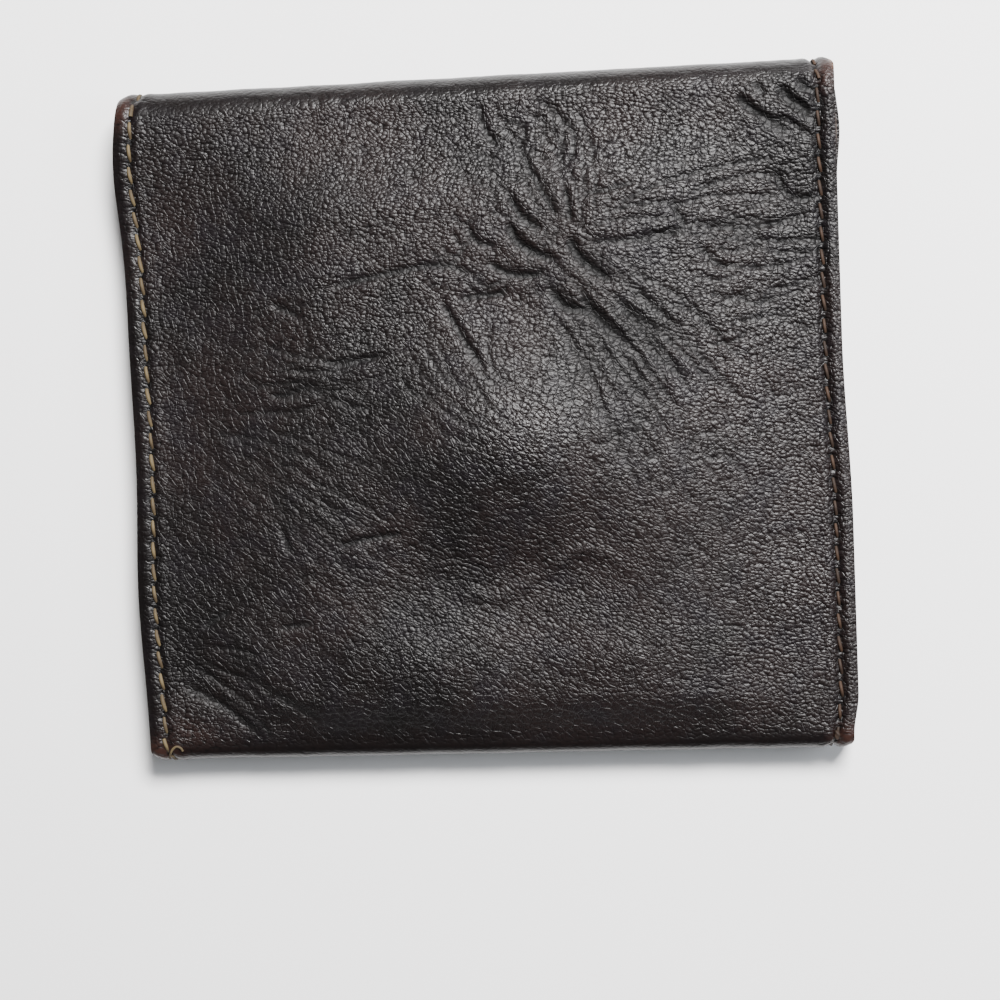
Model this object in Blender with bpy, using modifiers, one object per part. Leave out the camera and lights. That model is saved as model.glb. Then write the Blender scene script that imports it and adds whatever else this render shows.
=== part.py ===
"""Flap coin purse, closed and lying on its flap.

One strip of leather makes the whole outside: it starts at the mouth of the front panel, turns
up round the bottom fold, runs back over the rear panel, turns down over the top fold and ends
as the flap.  A lining follows it inside, lockstitch runs down both sides and round the flap,
and a press stud holds the flap to the front panel.

Units are metres, +Z is up, +Y points to the top fold and +X to the right.  The origin is on the
table, under the middle of the purse.
"""
import math

import bmesh
import bpy
from mathutils import Vector

MM = 0.001

# Driving sizes of the purse
WIDTH = 85 * MM
LENGTH = 81 * MM            # bottom fold to top fold
LEATHER = 0.9 * MM
LINING = 0.3 * MM
POCKET_DEPTH = 5.0 * MM     # clear space between the linings where the pocket is full
FOLD_HEIGHT = 6.5 * MM      # outside height of the top fold
MOUTH_SETBACK = 12.3 * MM   # top fold's hinge line to the front panel's mouth edge
FLAP_LENGTH = 55.5 * MM     # hinge line to the flap's free edge
FLAP_CORNER = 12 * MM       # radius of the flap's free corners
SIDE_SLOPE = 8 * MM         # width over which the rear panel climbs from a side seam
TOP_SLOPE = 8 * MM
BOTTOM_SLOPE = 10 * MM
BULGE = 0.5 * MM            # rear panel standing proud over the press stud
BULGE_RADIUS = 15 * MM

# Clearances
GAP = 0.3 * MM              # between pieces that touch on the real purse
FLAP_GAP = 0.5 * MM         # flap lining to front panel
TABLE_GAP = 0.05 * MM       # press stud's cap above the table

# Stitching
SEAM_INSET = 2.0 * MM       # thread line to the leather's edge
SEAM_MARGIN = 3.5 * MM      # flat strip along each side seam
THREAD_RADIUS = 0.2 * MM
MOUTH_THREAD_END = 2.0 * MM  # stop of the mouth thread short of the side threads

# Press stud
SNAP_FROM_FLAP_EDGE = 15.25 * MM
CAP_RADIUS = 6.2 * MM
CAP_HEIGHT = 0.85 * MM
CAP_RIM = 0.3 * MM
POST_RADIUS = 1.7 * MM
POST_FLARE = 0.6 * MM       # how far the rolled post reaches past its own radius
PLATE = 0.3 * MM            # thickness of the pressed brass
SOCKET_RADIUS = 5.0 * MM
SOCKET_HEIGHT = 2.0 * MM
SOCKET_WALL = 0.8 * MM
STUD_RADIUS = 2.7 * MM
STUD_NECK = 0.35 * MM       # undercut behind the stud's head
STUD_PLAY = 0.4 * MM        # stud head to socket lip
STUD_FLANGE_RADIUS = 4.5 * MM
FLANGE = 0.4 * MM
SHANK_RADIUS = 1.2 * MM
EYELET_RADIUS = 3.5 * MM
SPRING_WIRE_RADIUS = 0.15 * MM
SPRING_OPENING = 50         # degrees left open in the ring spring
DISH_SHOULDER = 1.8 * MM    # flat leather past the cap before the dish falls away
FLAP_DISH_SLOPE = 6 * MM
FRONT_DISH_SLOPE = 11 * MM

# Mesh fineness
TURN_STEPS = 20
FOLD_STEPS = 6
SIDE_STEPS = 4
FIELD_STEP = 5 * MM

# Heights of the layers, stacked from the table
LAYERS = LEATHER + GAP + LINING
FRONT_Z = LAYERS + FLAP_GAP
SEAM_Z = FRONT_Z + 2 * LAYERS + GAP
CROWN_Z = FRONT_Z + 2 * LAYERS + POCKET_DEPTH
CAP_RIM_Z = TABLE_GAP + CAP_HEIGHT
FLAP_DISH = CAP_RIM_Z + GAP
SOCKET_Z = FLAP_DISH + LAYERS + GAP
SOCKET_TOP_Z = SOCKET_Z + SOCKET_HEIGHT
FLANGE_Z = SOCKET_TOP_Z + GAP
FRONT_DISH = FLANGE_Z + FLANGE + GAP - FRONT_Z
EYELET_Z = FRONT_Z + FRONT_DISH + LAYERS + GAP

# Places along the purse
HALF_WIDTH = WIDTH / 2
FOLD_RADIUS = FOLD_HEIGHT / 2
HINGE_Y = LENGTH / 2 - FOLD_RADIUS
EDGE_Y = HINGE_Y - GAP / 2
MOUTH_Y = HINGE_Y - MOUTH_SETBACK
BOTTOM_RADIUS = (SEAM_Z - FRONT_Z) / 2
BOTTOM_Y = -LENGTH / 2 + BOTTOM_RADIUS
FLAP_END_Y = HINGE_Y - FLAP_LENGTH
SNAP_Y = FLAP_END_Y + SNAP_FROM_FLAP_EDGE
SEAM_X = HALF_WIDTH - SEAM_INSET
DISH_RADIUS = CAP_RADIUS + DISH_SHOULDER


def smooth(share):
    """Ease from 0 to 1 with level ends."""
    share = min(max(share, 0.0), 1.0)
    return share * share * (3 - 2 * share)


def steps(start, end, count):
    """Evenly spaced values from start to end, both included."""
    return [start + (end - start) * i / count for i in range(count + 1)]


def snap_dish(x, y, slope):
    """1 over the press stud, falling to 0 past its shoulder over the width of the slope."""
    return smooth((DISH_RADIUS + slope - math.hypot(x, y - SNAP_Y)) / slope)


# ---------------------------------------------------------------- surfaces of the strip

def rear_z(x, y):
    """Outer height of the rear panel."""
    to_top = smooth((HINGE_Y - y) / TOP_SLOPE)
    to_bottom = smooth((y - BOTTOM_Y) / BOTTOM_SLOPE)
    to_side = smooth((HALF_WIDTH - SEAM_MARGIN - abs(x)) / SIDE_SLOPE)
    rim = FOLD_HEIGHT + (SEAM_Z - FOLD_HEIGHT) * to_top
    bulge = BULGE * smooth(1 - math.hypot(x, y - SNAP_Y) / BULGE_RADIUS)
    return rim + (CROWN_Z - rim) * to_top * to_bottom * to_side + bulge


def body_place(x, share):
    """Point on the outside of the pocket: 0-1 front, 1-2 bottom fold, 2-3 rear."""
    if share <= 1:
        y = MOUTH_Y + (BOTTOM_Y - MOUTH_Y) * share
        return Vector((x, y, FRONT_Z + FRONT_DISH * snap_dish(x, y, FRONT_DISH_SLOPE)))
    if share < 2:
        turn = math.pi * (share - 1)
        y = BOTTOM_Y - BOTTOM_RADIUS * math.sin(turn)
        return Vector((x, y, FRONT_Z + BOTTOM_RADIUS * (1 - math.cos(turn))))
    y = BOTTOM_Y + (EDGE_Y - BOTTOM_Y) * (share - 2)
    return Vector((x, y, rear_z(x, y)))


def fold_place(x, turn):
    """Point on the outside of the top fold, turned from its upper edge in radians."""
    y = HINGE_Y + FOLD_RADIUS * math.sin(turn)
    return Vector((x, y, FOLD_RADIUS * (1 + math.cos(turn))))


def flap_half_width(y):
    """Half the flap's width at y, less in its rounded free corners."""
    into_corner = FLAP_END_Y + FLAP_CORNER - y
    if into_corner <= 0:
        return HALF_WIDTH
    return HALF_WIDTH - FLAP_CORNER + math.sqrt(max(FLAP_CORNER ** 2 - into_corner ** 2, 0))


def flap_place(share, down):
    """Point on the outside of the flap: share of its half width, and distance from the edge."""
    y = EDGE_Y - down
    x = share * flap_half_width(y)
    return Vector((x, y, FLAP_DISH * snap_dish(x, y, FLAP_DISH_SLOPE)))


def inward(place, first, second, depth):
    """The surface point moved inwards by depth, square to the surface."""
    nudge = 1e-4
    here = place(first, second)
    if depth == 0:
        return here
    across = place(first + nudge, second) - place(first - nudge, second)
    along = place(first, second + nudge) - place(first, second - nudge)
    return here - depth * across.cross(along).normalized()


# ---------------------------------------------------------------- making objects

def new_collection(name):
    """A collection of this name, linked into the scene."""
    collection = bpy.data.collections.new(name)
    bpy.context.scene.collection.children.link(collection)
    return collection


def material(name, colour, roughness, metallic=0.0):
    """A Principled material."""
    made = bpy.data.materials.new(name)
    made.use_nodes = True
    shader = made.node_tree.nodes["Principled BSDF"]
    shader.inputs["Base Color"].default_value = (*colour, 1)
    shader.inputs["Roughness"].default_value = roughness
    shader.inputs["Metallic"].default_value = metallic
    return made


def add_object(name, data, collection, finish=None):
    """An object in the collection, wearing the finish."""
    made = bpy.data.objects.new(name, data)
    collection.objects.link(made)
    if finish:
        data.materials.append(finish)
    return made


def bent_sheet(name, place, across, along, depth, thickness, finish):
    """A grid laid on a surface of the strip at a depth below it, thickened inwards."""
    mesh = bpy.data.meshes.new(name)
    grid = bmesh.new()
    columns, rows = len(across) - 1, len(along) - 1
    bmesh.ops.create_grid(grid, x_segments=columns, y_segments=rows, size=0.5)
    for vert in grid.verts:
        first = across[round((vert.co.x + 0.5) * columns)]
        second = along[round((vert.co.y + 0.5) * rows)]
        vert.co = inward(place, first, second, depth)
    grid.to_mesh(mesh)
    grid.free()
    mesh.shade_smooth()
    made = add_object(name, mesh, PURSE, finish)
    wall = made.modifiers.new("thickness", "SOLIDIFY")
    wall.thickness = thickness
    wall.offset = -1
    wall.use_even_offset = True
    return made


def tube(name, points, radius, collection, finish=None):
    """A round tube with closed ends through the points."""
    curve = bpy.data.curves.new(name, "CURVE")
    curve.dimensions = "3D"
    curve.bevel_depth = radius
    curve.bevel_resolution = 2
    curve.use_fill_caps = True
    line = curve.splines.new("POLY")
    line.points.add(len(points) - 1)
    for spot, point in zip(line.points, points):
        spot.co = (*point, 1)
    return add_object(name, curve, collection, finish)


def turned(name, profile, z, finish, closed=False):
    """A solid of revolution about the press stud's axis; the profile runs down its outside."""
    mesh = bpy.data.meshes.new(name)
    count = len(profile)
    edges = [(i, (i + 1) % count) for i in range(count if closed else count - 1)]
    mesh.from_pydata([(radius, 0, height) for radius, height in profile], edges, [])
    made = add_object(name, mesh, PURSE, finish)
    made.location = (0, SNAP_Y, z)
    spin = made.modifiers.new("turn", "SCREW")
    spin.axis = "Z"
    spin.steps = TURN_STEPS
    spin.render_steps = TURN_STEPS
    spin.use_merge_vertices = True
    spin.merge_threshold = 0.00005
    spin.use_smooth_shade = True
    return made


def as_cutter(shape):
    """Hide a shape from the render and show it as wire."""
    shape.hide_render = True
    shape.display_type = "WIRE"
    return shape


def tube_cutter(name, points, radius):
    """A closed tube mesh that cuts a groove along the points."""
    curve = tube(name + "_path", points, radius, CUTTERS)
    bpy.context.view_layer.update()
    evaluated = curve.evaluated_get(bpy.context.evaluated_depsgraph_get())
    mesh = bpy.data.meshes.new_from_object(evaluated)
    joined = bmesh.new()
    joined.from_mesh(mesh)
    bmesh.ops.remove_doubles(joined, verts=joined.verts, dist=0.01 * MM)
    joined.to_mesh(mesh)
    joined.free()
    bpy.data.objects.remove(curve)
    return as_cutter(add_object(name, mesh, CUTTERS))


def drill(name, radius, low, high):
    """A cylinder that cuts a hole on the press stud's axis from low to high."""
    mesh = bpy.data.meshes.new(name)
    shape = bmesh.new()
    bmesh.ops.create_cone(shape, cap_ends=True, segments=TURN_STEPS, radius1=radius,
                          radius2=radius, depth=high - low)
    shape.to_mesh(mesh)
    shape.free()
    made = as_cutter(add_object(name, mesh, CUTTERS))
    made.location = (0, SNAP_Y, (low + high) / 2)
    return made


def cut(target, cutter):
    """Take the cutter's shape out of the target."""
    cutting = target.modifiers.new("cut " + cutter.name, "BOOLEAN")
    cutting.operation = "DIFFERENCE"
    cutting.object = cutter


def pivot(name, z, parent=None):
    """An empty on a fold line, which carries the pieces that turn with it."""
    made = add_object(name, None, PURSE)
    made.location = Vector((0, HINGE_Y, z)) - (parent.location if parent else Vector())
    made.parent = parent
    return made


def carry(carrier, origin, pieces):
    """Hang pieces from an empty whose world place is origin, without moving them."""
    for piece in pieces:
        piece.parent = carrier
        piece.location -= origin


# ---------------------------------------------------------------- thread lines

def strip_side(side):
    """Thread line down one side of the pocket, half a thread's depth under the surface."""
    shares = [0, 1] + steps(1, 2, FOLD_STEPS)[1:]
    slope_start = 2 + (EDGE_Y - TOP_SLOPE - BOTTOM_Y) / (EDGE_Y - BOTTOM_Y)
    shares += steps(slope_start, 3, 6)
    return [inward(body_place, side * SEAM_X, share, THREAD_RADIUS) for share in shares]


def fold_side(side):
    """Thread line over the top fold at one side."""
    start = math.asin(GAP / 2 / FOLD_RADIUS)
    turns = steps(start, math.pi - start, 2 * FOLD_STEPS + 1)
    return [inward(fold_place, side * SEAM_X, turn, THREAD_RADIUS) for turn in turns]


def flap_rim():
    """Thread line from the hinge line down one side of the flap, round it and up the other."""
    radius = FLAP_CORNER - SEAM_INSET
    centre_x = HALF_WIDTH - FLAP_CORNER
    centre_y = FLAP_END_Y + FLAP_CORNER
    right = [(SEAM_X, EDGE_Y)]
    for turn in steps(0, math.pi / 2, FOLD_STEPS + 1):
        right.append((centre_x + radius * math.cos(turn), centre_y - radius * math.sin(turn)))
    right += [(x, centre_y - radius) for x in steps(centre_x, 0, FOLD_STEPS)[1:]]
    line = right + [(-x, y) for x, y in reversed(right[:-1])]
    lift = THREAD_RADIUS + TABLE_GAP
    return [Vector((x, y, FLAP_DISH * snap_dish(x, y, FLAP_DISH_SLOPE) + lift)) for x, y in line]


def mouth_line():
    """Thread line along the mouth edge of the front panel."""
    reach = SEAM_X - MOUTH_THREAD_END
    share = SEAM_INSET / (MOUTH_Y - BOTTOM_Y)
    return [inward(body_place, x, share, THREAD_RADIUS) for x in steps(-reach, reach, 8)]


def shortened(points, amount):
    """The line with both ends moved inwards by amount; a negative amount runs it on."""
    ends = list(points)
    ends[0] = points[0] + amount * (points[1] - points[0]).normalized()
    ends[-1] = points[-1] + amount * (points[-2] - points[-1]).normalized()
    return ends


def sew(name, points, finish, leather):
    """Lay a thread along the points and sink a groove for it in the leather."""
    thread = tube(name, shortened(points, GAP), THREAD_RADIUS, PURSE, finish)
    groove = tube_cutter(name + "_groove", shortened(points, -GAP), THREAD_RADIUS + GAP)
    cut(leather, groove)
    return thread


# ---------------------------------------------------------------- the pieces

def side_stations():
    """X of the grid lines across the pocket."""
    edge = HALF_WIDTH - SEAM_MARGIN
    slope = steps(edge, edge - SIDE_SLOPE, SIDE_STEPS)
    right = [HALF_WIDTH] + slope
    field = steps(slope[-1], -slope[-1], 2 * round(slope[-1] / FIELD_STEP))
    return right + field[1:] + [-x for x in reversed(right[:-1])]


def body_stations():
    """Shares of the grid lines along the pocket's strip."""
    front = steps(0, 1, round((MOUTH_Y - BOTTOM_Y) / FIELD_STEP))
    bottom = steps(1, 2, FOLD_STEPS)
    run = EDGE_Y - BOTTOM_Y
    up = 2 + BOTTOM_SLOPE / run
    down = 3 - TOP_SLOPE / run
    field = steps(up, down, round((run - BOTTOM_SLOPE - TOP_SLOPE) / FIELD_STEP))
    return front + bottom[1:] + steps(2, up, SIDE_STEPS)[1:] + field[1:] + steps(down, 3, SIDE_STEPS)[1:]


def make_pocket():
    """The pocket's leather and lining with their threads."""
    across = sorted(side_stations())
    along = body_stations()
    leather = bent_sheet("outer_leather", body_place, across, along, 0, LEATHER, HIDE)
    lining = bent_sheet("pocket_lining", body_place, across, along, LEATHER + GAP, LINING, CLOTH)
    hole = drill("shank_hole", SHANK_RADIUS + GAP, FLANGE_Z, EYELET_Z)
    cut(leather, hole)
    cut(lining, hole)
    sew("side_thread_left", strip_side(-1), THREAD, leather)
    sew("side_thread_right", strip_side(1), THREAD, leather)
    sew("mouth_thread", mouth_line(), THREAD, leather)


def make_top_fold():
    """The leather and lining of the top fold, which turn on the rear panel's upper edge."""
    start = math.asin(GAP / 2 / FOLD_RADIUS)
    across = [-HALF_WIDTH, 0, HALF_WIDTH]
    along = steps(start, math.pi - start, 2 * FOLD_STEPS)
    leather = bent_sheet("top_fold_leather", fold_place, across, along, 0, LEATHER, HIDE)
    lining = bent_sheet("top_fold_lining", fold_place, across, along, LEATHER + GAP, LINING, CLOTH)
    left = sew("fold_thread_left", fold_side(-1), THREAD, leather)
    right = sew("fold_thread_right", fold_side(1), THREAD, leather)
    return [leather, lining, left, right]


def flap_stations():
    """Distances of the flap's grid lines from its hinged edge."""
    straight = EDGE_Y - FLAP_END_Y - FLAP_CORNER
    corner = [straight + FLAP_CORNER * math.sin(turn) for turn in steps(0, math.pi / 2, FOLD_STEPS)]
    return steps(0, straight, round(straight / FIELD_STEP)) + corner[1:]


def make_flap():
    """The flap's leather and lining with the thread round its rim."""
    across = steps(-1, 1, 2 * round(HALF_WIDTH / FIELD_STEP))
    along = flap_stations()
    leather = bent_sheet("flap_leather", flap_place, across, along, 0, LEATHER, HIDE)
    lining = bent_sheet("flap_lining", flap_place, across, along, LEATHER + GAP, LINING, CLOTH)
    hole = drill("post_hole", POST_RADIUS + GAP, CAP_RIM_Z, SOCKET_Z)
    cut(leather, hole)
    cut(lining, hole)
    return [leather, lining, sew("flap_thread", flap_rim(), THREAD, leather)]


def make_cap():
    """Domed cap with its post, which is rolled over the socket's floor."""
    top = SOCKET_Z + PLATE + GAP + PLATE
    flare = POST_RADIUS + POST_FLARE
    dome = [(CAP_RADIUS * math.cos(turn), CAP_RIM_Z - CAP_RIM - (CAP_HEIGHT - CAP_RIM) * math.sin(turn))
            for turn in steps(0, math.pi / 2, 5)]
    profile = [(0, top), (flare, top), (flare, top - PLATE), (POST_RADIUS, top - PLATE),
               (POST_RADIUS, CAP_RIM_Z), (CAP_RADIUS - CAP_RIM, CAP_RIM_Z)] + dome[:-1]
    profile.append((0, TABLE_GAP))
    return turned("snap_cap", profile, 0, BRASS)


def make_socket():
    """Cup with a holed floor and an inturned lip."""
    hole = POST_RADIUS + GAP
    lip = STUD_RADIUS + STUD_PLAY
    inner = SOCKET_RADIUS - SOCKET_WALL
    profile = [(lip, SOCKET_HEIGHT), (SOCKET_RADIUS - PLATE, SOCKET_HEIGHT),
               (SOCKET_RADIUS, SOCKET_HEIGHT - PLATE), (SOCKET_RADIUS, 0), (hole, 0),
               (hole, PLATE), (inner, PLATE), (inner, SOCKET_HEIGHT - PLATE),
               (lip, SOCKET_HEIGHT - PLATE)]
    return turned("snap_socket", profile, SOCKET_Z, BRASS, closed=True)


def make_spring():
    """Split ring of wire under the socket's lip."""
    radius = STUD_RADIUS + GAP + SPRING_WIRE_RADIUS
    z = SOCKET_TOP_Z - PLATE - GAP - SPRING_WIRE_RADIUS
    half = math.radians(360 - SPRING_OPENING) / 2
    ring = [Vector((radius * math.sin(turn), SNAP_Y + radius * math.cos(turn), z))
            for turn in steps(-half, half, TURN_STEPS)]
    return tube("snap_spring", ring, SPRING_WIRE_RADIUS, PURSE, STEEL)


def make_stud():
    """Hollow stud under the front panel, head down into the socket."""
    bottom = SOCKET_Z + 2 * PLATE + 2 * GAP - FLANGE_Z
    bore = SHANK_RADIUS + GAP
    neck = STUD_RADIUS - STUD_NECK
    profile = [(0, bottom + PLATE), (bore, bottom + PLATE), (bore, FLANGE),
               (STUD_FLANGE_RADIUS, FLANGE), (STUD_FLANGE_RADIUS, 0), (neck, 0),
               (neck, bottom / 3), (STUD_RADIUS, bottom / 2), (STUD_RADIUS, bottom + PLATE),
               (STUD_RADIUS - PLATE, bottom), (0, bottom)]
    return turned("snap_stud", profile, FLANGE_Z, BRASS)


def make_eyelet():
    """Headed shank that passes from inside the pocket down into the stud."""
    end = SOCKET_Z + 3 * PLATE + 3 * GAP - EYELET_Z
    profile = [(0, PLATE), (EYELET_RADIUS - PLATE, PLATE), (EYELET_RADIUS, 0),
               (SHANK_RADIUS, 0), (SHANK_RADIUS, end), (0, end)]
    return turned("stud_eyelet", profile, EYELET_Z, BRASS)


for old in list(bpy.data.objects):
    bpy.data.objects.remove(old)

PURSE = new_collection("coin_purse")
CUTTERS = new_collection("cutters")
HIDE = material("brown_leather", (0.030, 0.022, 0.020), 0.45)
CLOTH = material("lining_cloth", (0.10, 0.075, 0.06), 0.85)
THREAD = material("olive_thread", (0.17, 0.13, 0.06), 0.8)
BRASS = material("aged_brass", (0.45, 0.33, 0.16), 0.35, 1.0)
STEEL = material("spring_steel", (0.5, 0.5, 0.5), 0.3, 1.0)

fold_line = pivot("top_fold_pivot", FOLD_HEIGHT)
flap_line = pivot("flap_pivot", 0, fold_line)

make_pocket()
make_stud()
make_eyelet()
carry(fold_line, Vector((0, HINGE_Y, FOLD_HEIGHT)), make_top_fold())
carry(flap_line, Vector((0, HINGE_Y, 0)), make_flap() + [make_cap(), make_socket(), make_spring()])
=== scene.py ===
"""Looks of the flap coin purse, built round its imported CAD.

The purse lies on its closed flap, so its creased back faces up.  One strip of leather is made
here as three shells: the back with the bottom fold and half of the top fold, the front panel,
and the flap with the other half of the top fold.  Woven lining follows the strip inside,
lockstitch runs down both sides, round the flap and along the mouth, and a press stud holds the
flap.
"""
import logging
import math
from dataclasses import dataclass, field
from enum import Enum

import bmesh
import bpy
import numpy as np
from mathutils import Matrix, Vector, noise


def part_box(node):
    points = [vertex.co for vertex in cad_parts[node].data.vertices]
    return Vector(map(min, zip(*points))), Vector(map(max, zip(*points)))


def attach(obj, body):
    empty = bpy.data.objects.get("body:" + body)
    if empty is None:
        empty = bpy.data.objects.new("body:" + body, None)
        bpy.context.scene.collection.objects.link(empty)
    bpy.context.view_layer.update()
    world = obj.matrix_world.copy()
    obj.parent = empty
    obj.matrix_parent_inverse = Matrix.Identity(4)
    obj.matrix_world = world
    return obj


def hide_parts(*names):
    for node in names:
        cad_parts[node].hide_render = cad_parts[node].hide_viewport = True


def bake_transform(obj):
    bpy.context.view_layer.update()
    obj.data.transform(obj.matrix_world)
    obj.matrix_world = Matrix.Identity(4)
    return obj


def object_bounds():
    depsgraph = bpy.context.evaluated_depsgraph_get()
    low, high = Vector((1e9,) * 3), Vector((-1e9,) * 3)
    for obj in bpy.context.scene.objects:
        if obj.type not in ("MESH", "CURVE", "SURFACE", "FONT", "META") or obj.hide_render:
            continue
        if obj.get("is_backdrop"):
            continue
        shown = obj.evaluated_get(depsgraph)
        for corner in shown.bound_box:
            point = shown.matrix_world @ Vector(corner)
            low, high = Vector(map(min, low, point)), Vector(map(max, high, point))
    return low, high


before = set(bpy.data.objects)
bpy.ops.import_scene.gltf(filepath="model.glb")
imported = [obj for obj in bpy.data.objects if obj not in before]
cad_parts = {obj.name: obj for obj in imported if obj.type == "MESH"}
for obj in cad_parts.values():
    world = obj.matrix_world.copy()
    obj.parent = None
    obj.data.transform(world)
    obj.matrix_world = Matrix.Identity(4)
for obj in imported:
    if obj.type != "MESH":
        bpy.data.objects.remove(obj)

LOG = logging.getLogger("purse")
MM = 0.001
FLOOR_GAP = 0.02 * MM       # between the purse's lowest point and the table top

Grid = np.ndarray   # an array of numbers over a grid of rows and columns
Point = tuple[float, float]


class Body(str, Enum):
    """The moving bodies of the purse."""

    PURSE = "purse"
    TOP_FOLD = "top_fold"
    FLAP = "flap"


class Slot(str, Enum):
    """Material slots of the record."""

    LEATHER = "leather"
    LINING = "lining"
    THREAD = "thread"
    BRASS = "brass"
    STEEL = "spring_steel"


# ---------------------------------------------------------------- shader maths

class Value:
    """One value in a material's node tree; arithmetic on it adds Math nodes."""

    def __init__(self, tree: "Tree", socket: bpy.types.NodeSocket) -> None:
        """Keep the tree and the output socket that carries the value."""
        self.tree = tree
        self.socket = socket

    def _math(self, operation: str, first: object, second: object = None) -> "Value":
        """Add a Math node on two values and return its result."""
        sockets = {0: first} if second is None else {0: first, 1: second}
        return self.tree.node("ShaderNodeMath", {"operation": operation}, sockets)

    def __add__(self, other: object) -> "Value":
        """This value plus another."""
        return self._math("ADD", self, other)

    __radd__ = __add__

    def __mul__(self, other: object) -> "Value":
        """This value times another."""
        return self._math("MULTIPLY", self, other)

    __rmul__ = __mul__

    def __sub__(self, other: object) -> "Value":
        """This value less another."""
        return self._math("SUBTRACT", self, other)

    def __rsub__(self, other: object) -> "Value":
        """Another value less this one."""
        return self._math("SUBTRACT", other, self)

    def sine(self) -> "Value":
        """Sine of this value in radians."""
        return self._math("SINE", self)

    def eased(self, low: float, high: float) -> "Value":
        """0 below low, 1 above high and a smooth ease between them.

        Args:
            low: value at which the ease starts.
            high: value at which it ends.

        Returns:
            The eased value, from 0 to 1.
        """
        settings = {"interpolation_type": "SMOOTHSTEP"}
        sockets = {"Value": self, "From Min": low, "From Max": high}
        return self.tree.node("ShaderNodeMapRange", settings, sockets)


class Tree:
    """A material's node tree with its Principled shader."""

    def __init__(self, name: str) -> None:
        """Make an empty material with a shader joined to its output.

        Args:
            name: the material's name.
        """
        self.material = bpy.data.materials.new(name)
        self.material.use_nodes = True
        self.nodes = self.material.node_tree.nodes
        self.links = self.material.node_tree.links
        self.shader = self.nodes["Principled BSDF"]

    def feed(self, socket: bpy.types.NodeSocket, value: object) -> None:
        """Link a Value to a socket, or set the socket to a plain number or colour.

        Args:
            socket: the input to feed.
            value: a Value, a number, or a colour.
        """
        if isinstance(value, Value):
            self.links.new(value.socket, socket)
        elif isinstance(value, tuple) and socket.type == "RGBA" and len(value) == 3:
            socket.default_value = (*value, 1)
        else:
            socket.default_value = value

    def node(self, kind: str, settings: dict[str, object], sockets: dict[object, object],
             output: object = 0) -> Value:
        """Add any node.

        Args:
            kind: the node's type name.
            settings: its properties, set before its sockets.
            sockets: values or links by socket name or number.
            output: name or number of the output that is returned.

        Returns:
            The chosen output as a Value.
        """
        made = self.nodes.new(kind)
        for name, setting in settings.items():
            setattr(made, name, setting)
        for name, value in sockets.items():
            self.feed(made.inputs[name], value)
        return Value(self, made.outputs[output])

    def mixed(self, factor: object, first: object, second: object) -> Value:
        """Two colours mixed by a factor."""
        sockets = {0: factor, 6: first, 7: second}
        return self.node("ShaderNodeMix", {"data_type": "RGBA"}, sockets, 2)

    def attribute(self, name: str) -> Value:
        """A number stored on the mesh's points."""
        return self.node("ShaderNodeAttribute", {"attribute_name": name}, {}, "Fac")

    def strip(self) -> Value:
        """Place on the flat strip, in metres."""
        return self.node("ShaderNodeUVMap", {"uv_map": STRIP_MAP}, {}, "UV")

    def place(self) -> Value:
        """Place on the object, in metres."""
        return self.node("ShaderNodeTexCoord", {}, {}, "Object")

    def turned(self, vector: Value, degrees: float, scale: tuple[float, float, float]) -> Value:
        """A vector turned about Z and scaled."""
        sockets = {"Vector": vector, "Rotation": (0, 0, math.radians(degrees)), "Scale": scale}
        return self.node("ShaderNodeMapping", {"vector_type": "TEXTURE"}, sockets, "Vector")

    def cloud(self, vector: Value, size: float, detail: float = 2.0, rough: float = 0.5) -> Value:
        """Soft noise with features of this size in metres."""
        sockets = {"Vector": vector, "Scale": 1 / size, "Detail": detail, "Roughness": rough}
        return self.node("ShaderNodeTexNoise", {"noise_dimensions": "3D"}, sockets, 0)

    def cells(self, vector: Value, size: float, feature: str = "DISTANCE_TO_EDGE") -> Value:
        """Distance to the border, or with F1 to the middle, of cells of this size."""
        settings = {"feature": feature, "voronoi_dimensions": "2D"}
        return self.node("ShaderNodeTexVoronoi", settings, {"Vector": vector, "Scale": 1 / size})

    def domes(self, vector: Value, size: float) -> Value:
        """Packed round pebbles of this size, 1 on their tops."""
        far = self.cells(vector, size, "F1")
        return 1 - far * far * 1.5

    def bump(self, height: Value, distance: float) -> None:
        """Drive the shader's normal by a height, whose 1 stands for the distance in metres."""
        sockets = {"Height": height, "Distance": distance, "Strength": 1.0}
        self.feed(self.shader.inputs["Normal"], self.node("ShaderNodeBump", {}, sockets))

    def finish(self, colour: object, roughness: object, **constants: float) -> bpy.types.Material:
        """Feed the shader's colour and roughness and set its constant sockets.

        Args:
            colour: the base colour.
            roughness: the roughness.
            constants: numbers by socket name, with _ for a space.

        Returns:
            The finished material.
        """
        self.feed(self.shader.inputs["Base Color"], colour)
        self.feed(self.shader.inputs["Roughness"], roughness)
        for name, value in constants.items():
            self.shader.inputs[name.replace("_", " ")].default_value = value
        return self.material


STRIP_MAP = "strip"
CREASE = "crease"     # 1 in the floor of a crease, where shade is painted into the colour
WEAR = "wear"         # 1 where the dye is rubbed off to red-brown
RAW = "raw"           # 1 where it is rubbed through to tan
SLANT = "slant"       # 1 where the grain is drawn out towards the lower right
LEVEL = "level"       # 1 where the grain is drawn out across the purse
PAINTED_SHADE = "shade"       # 1 in needle holes, where shade is painted into the colour
CALM_AND_SHADE = "calm"         # 1 where the grain is stretched smooth over a fold or by the left edge; shade is painted there too
POLISH = "polish"     # 1 where handling has polished the leather


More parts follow.
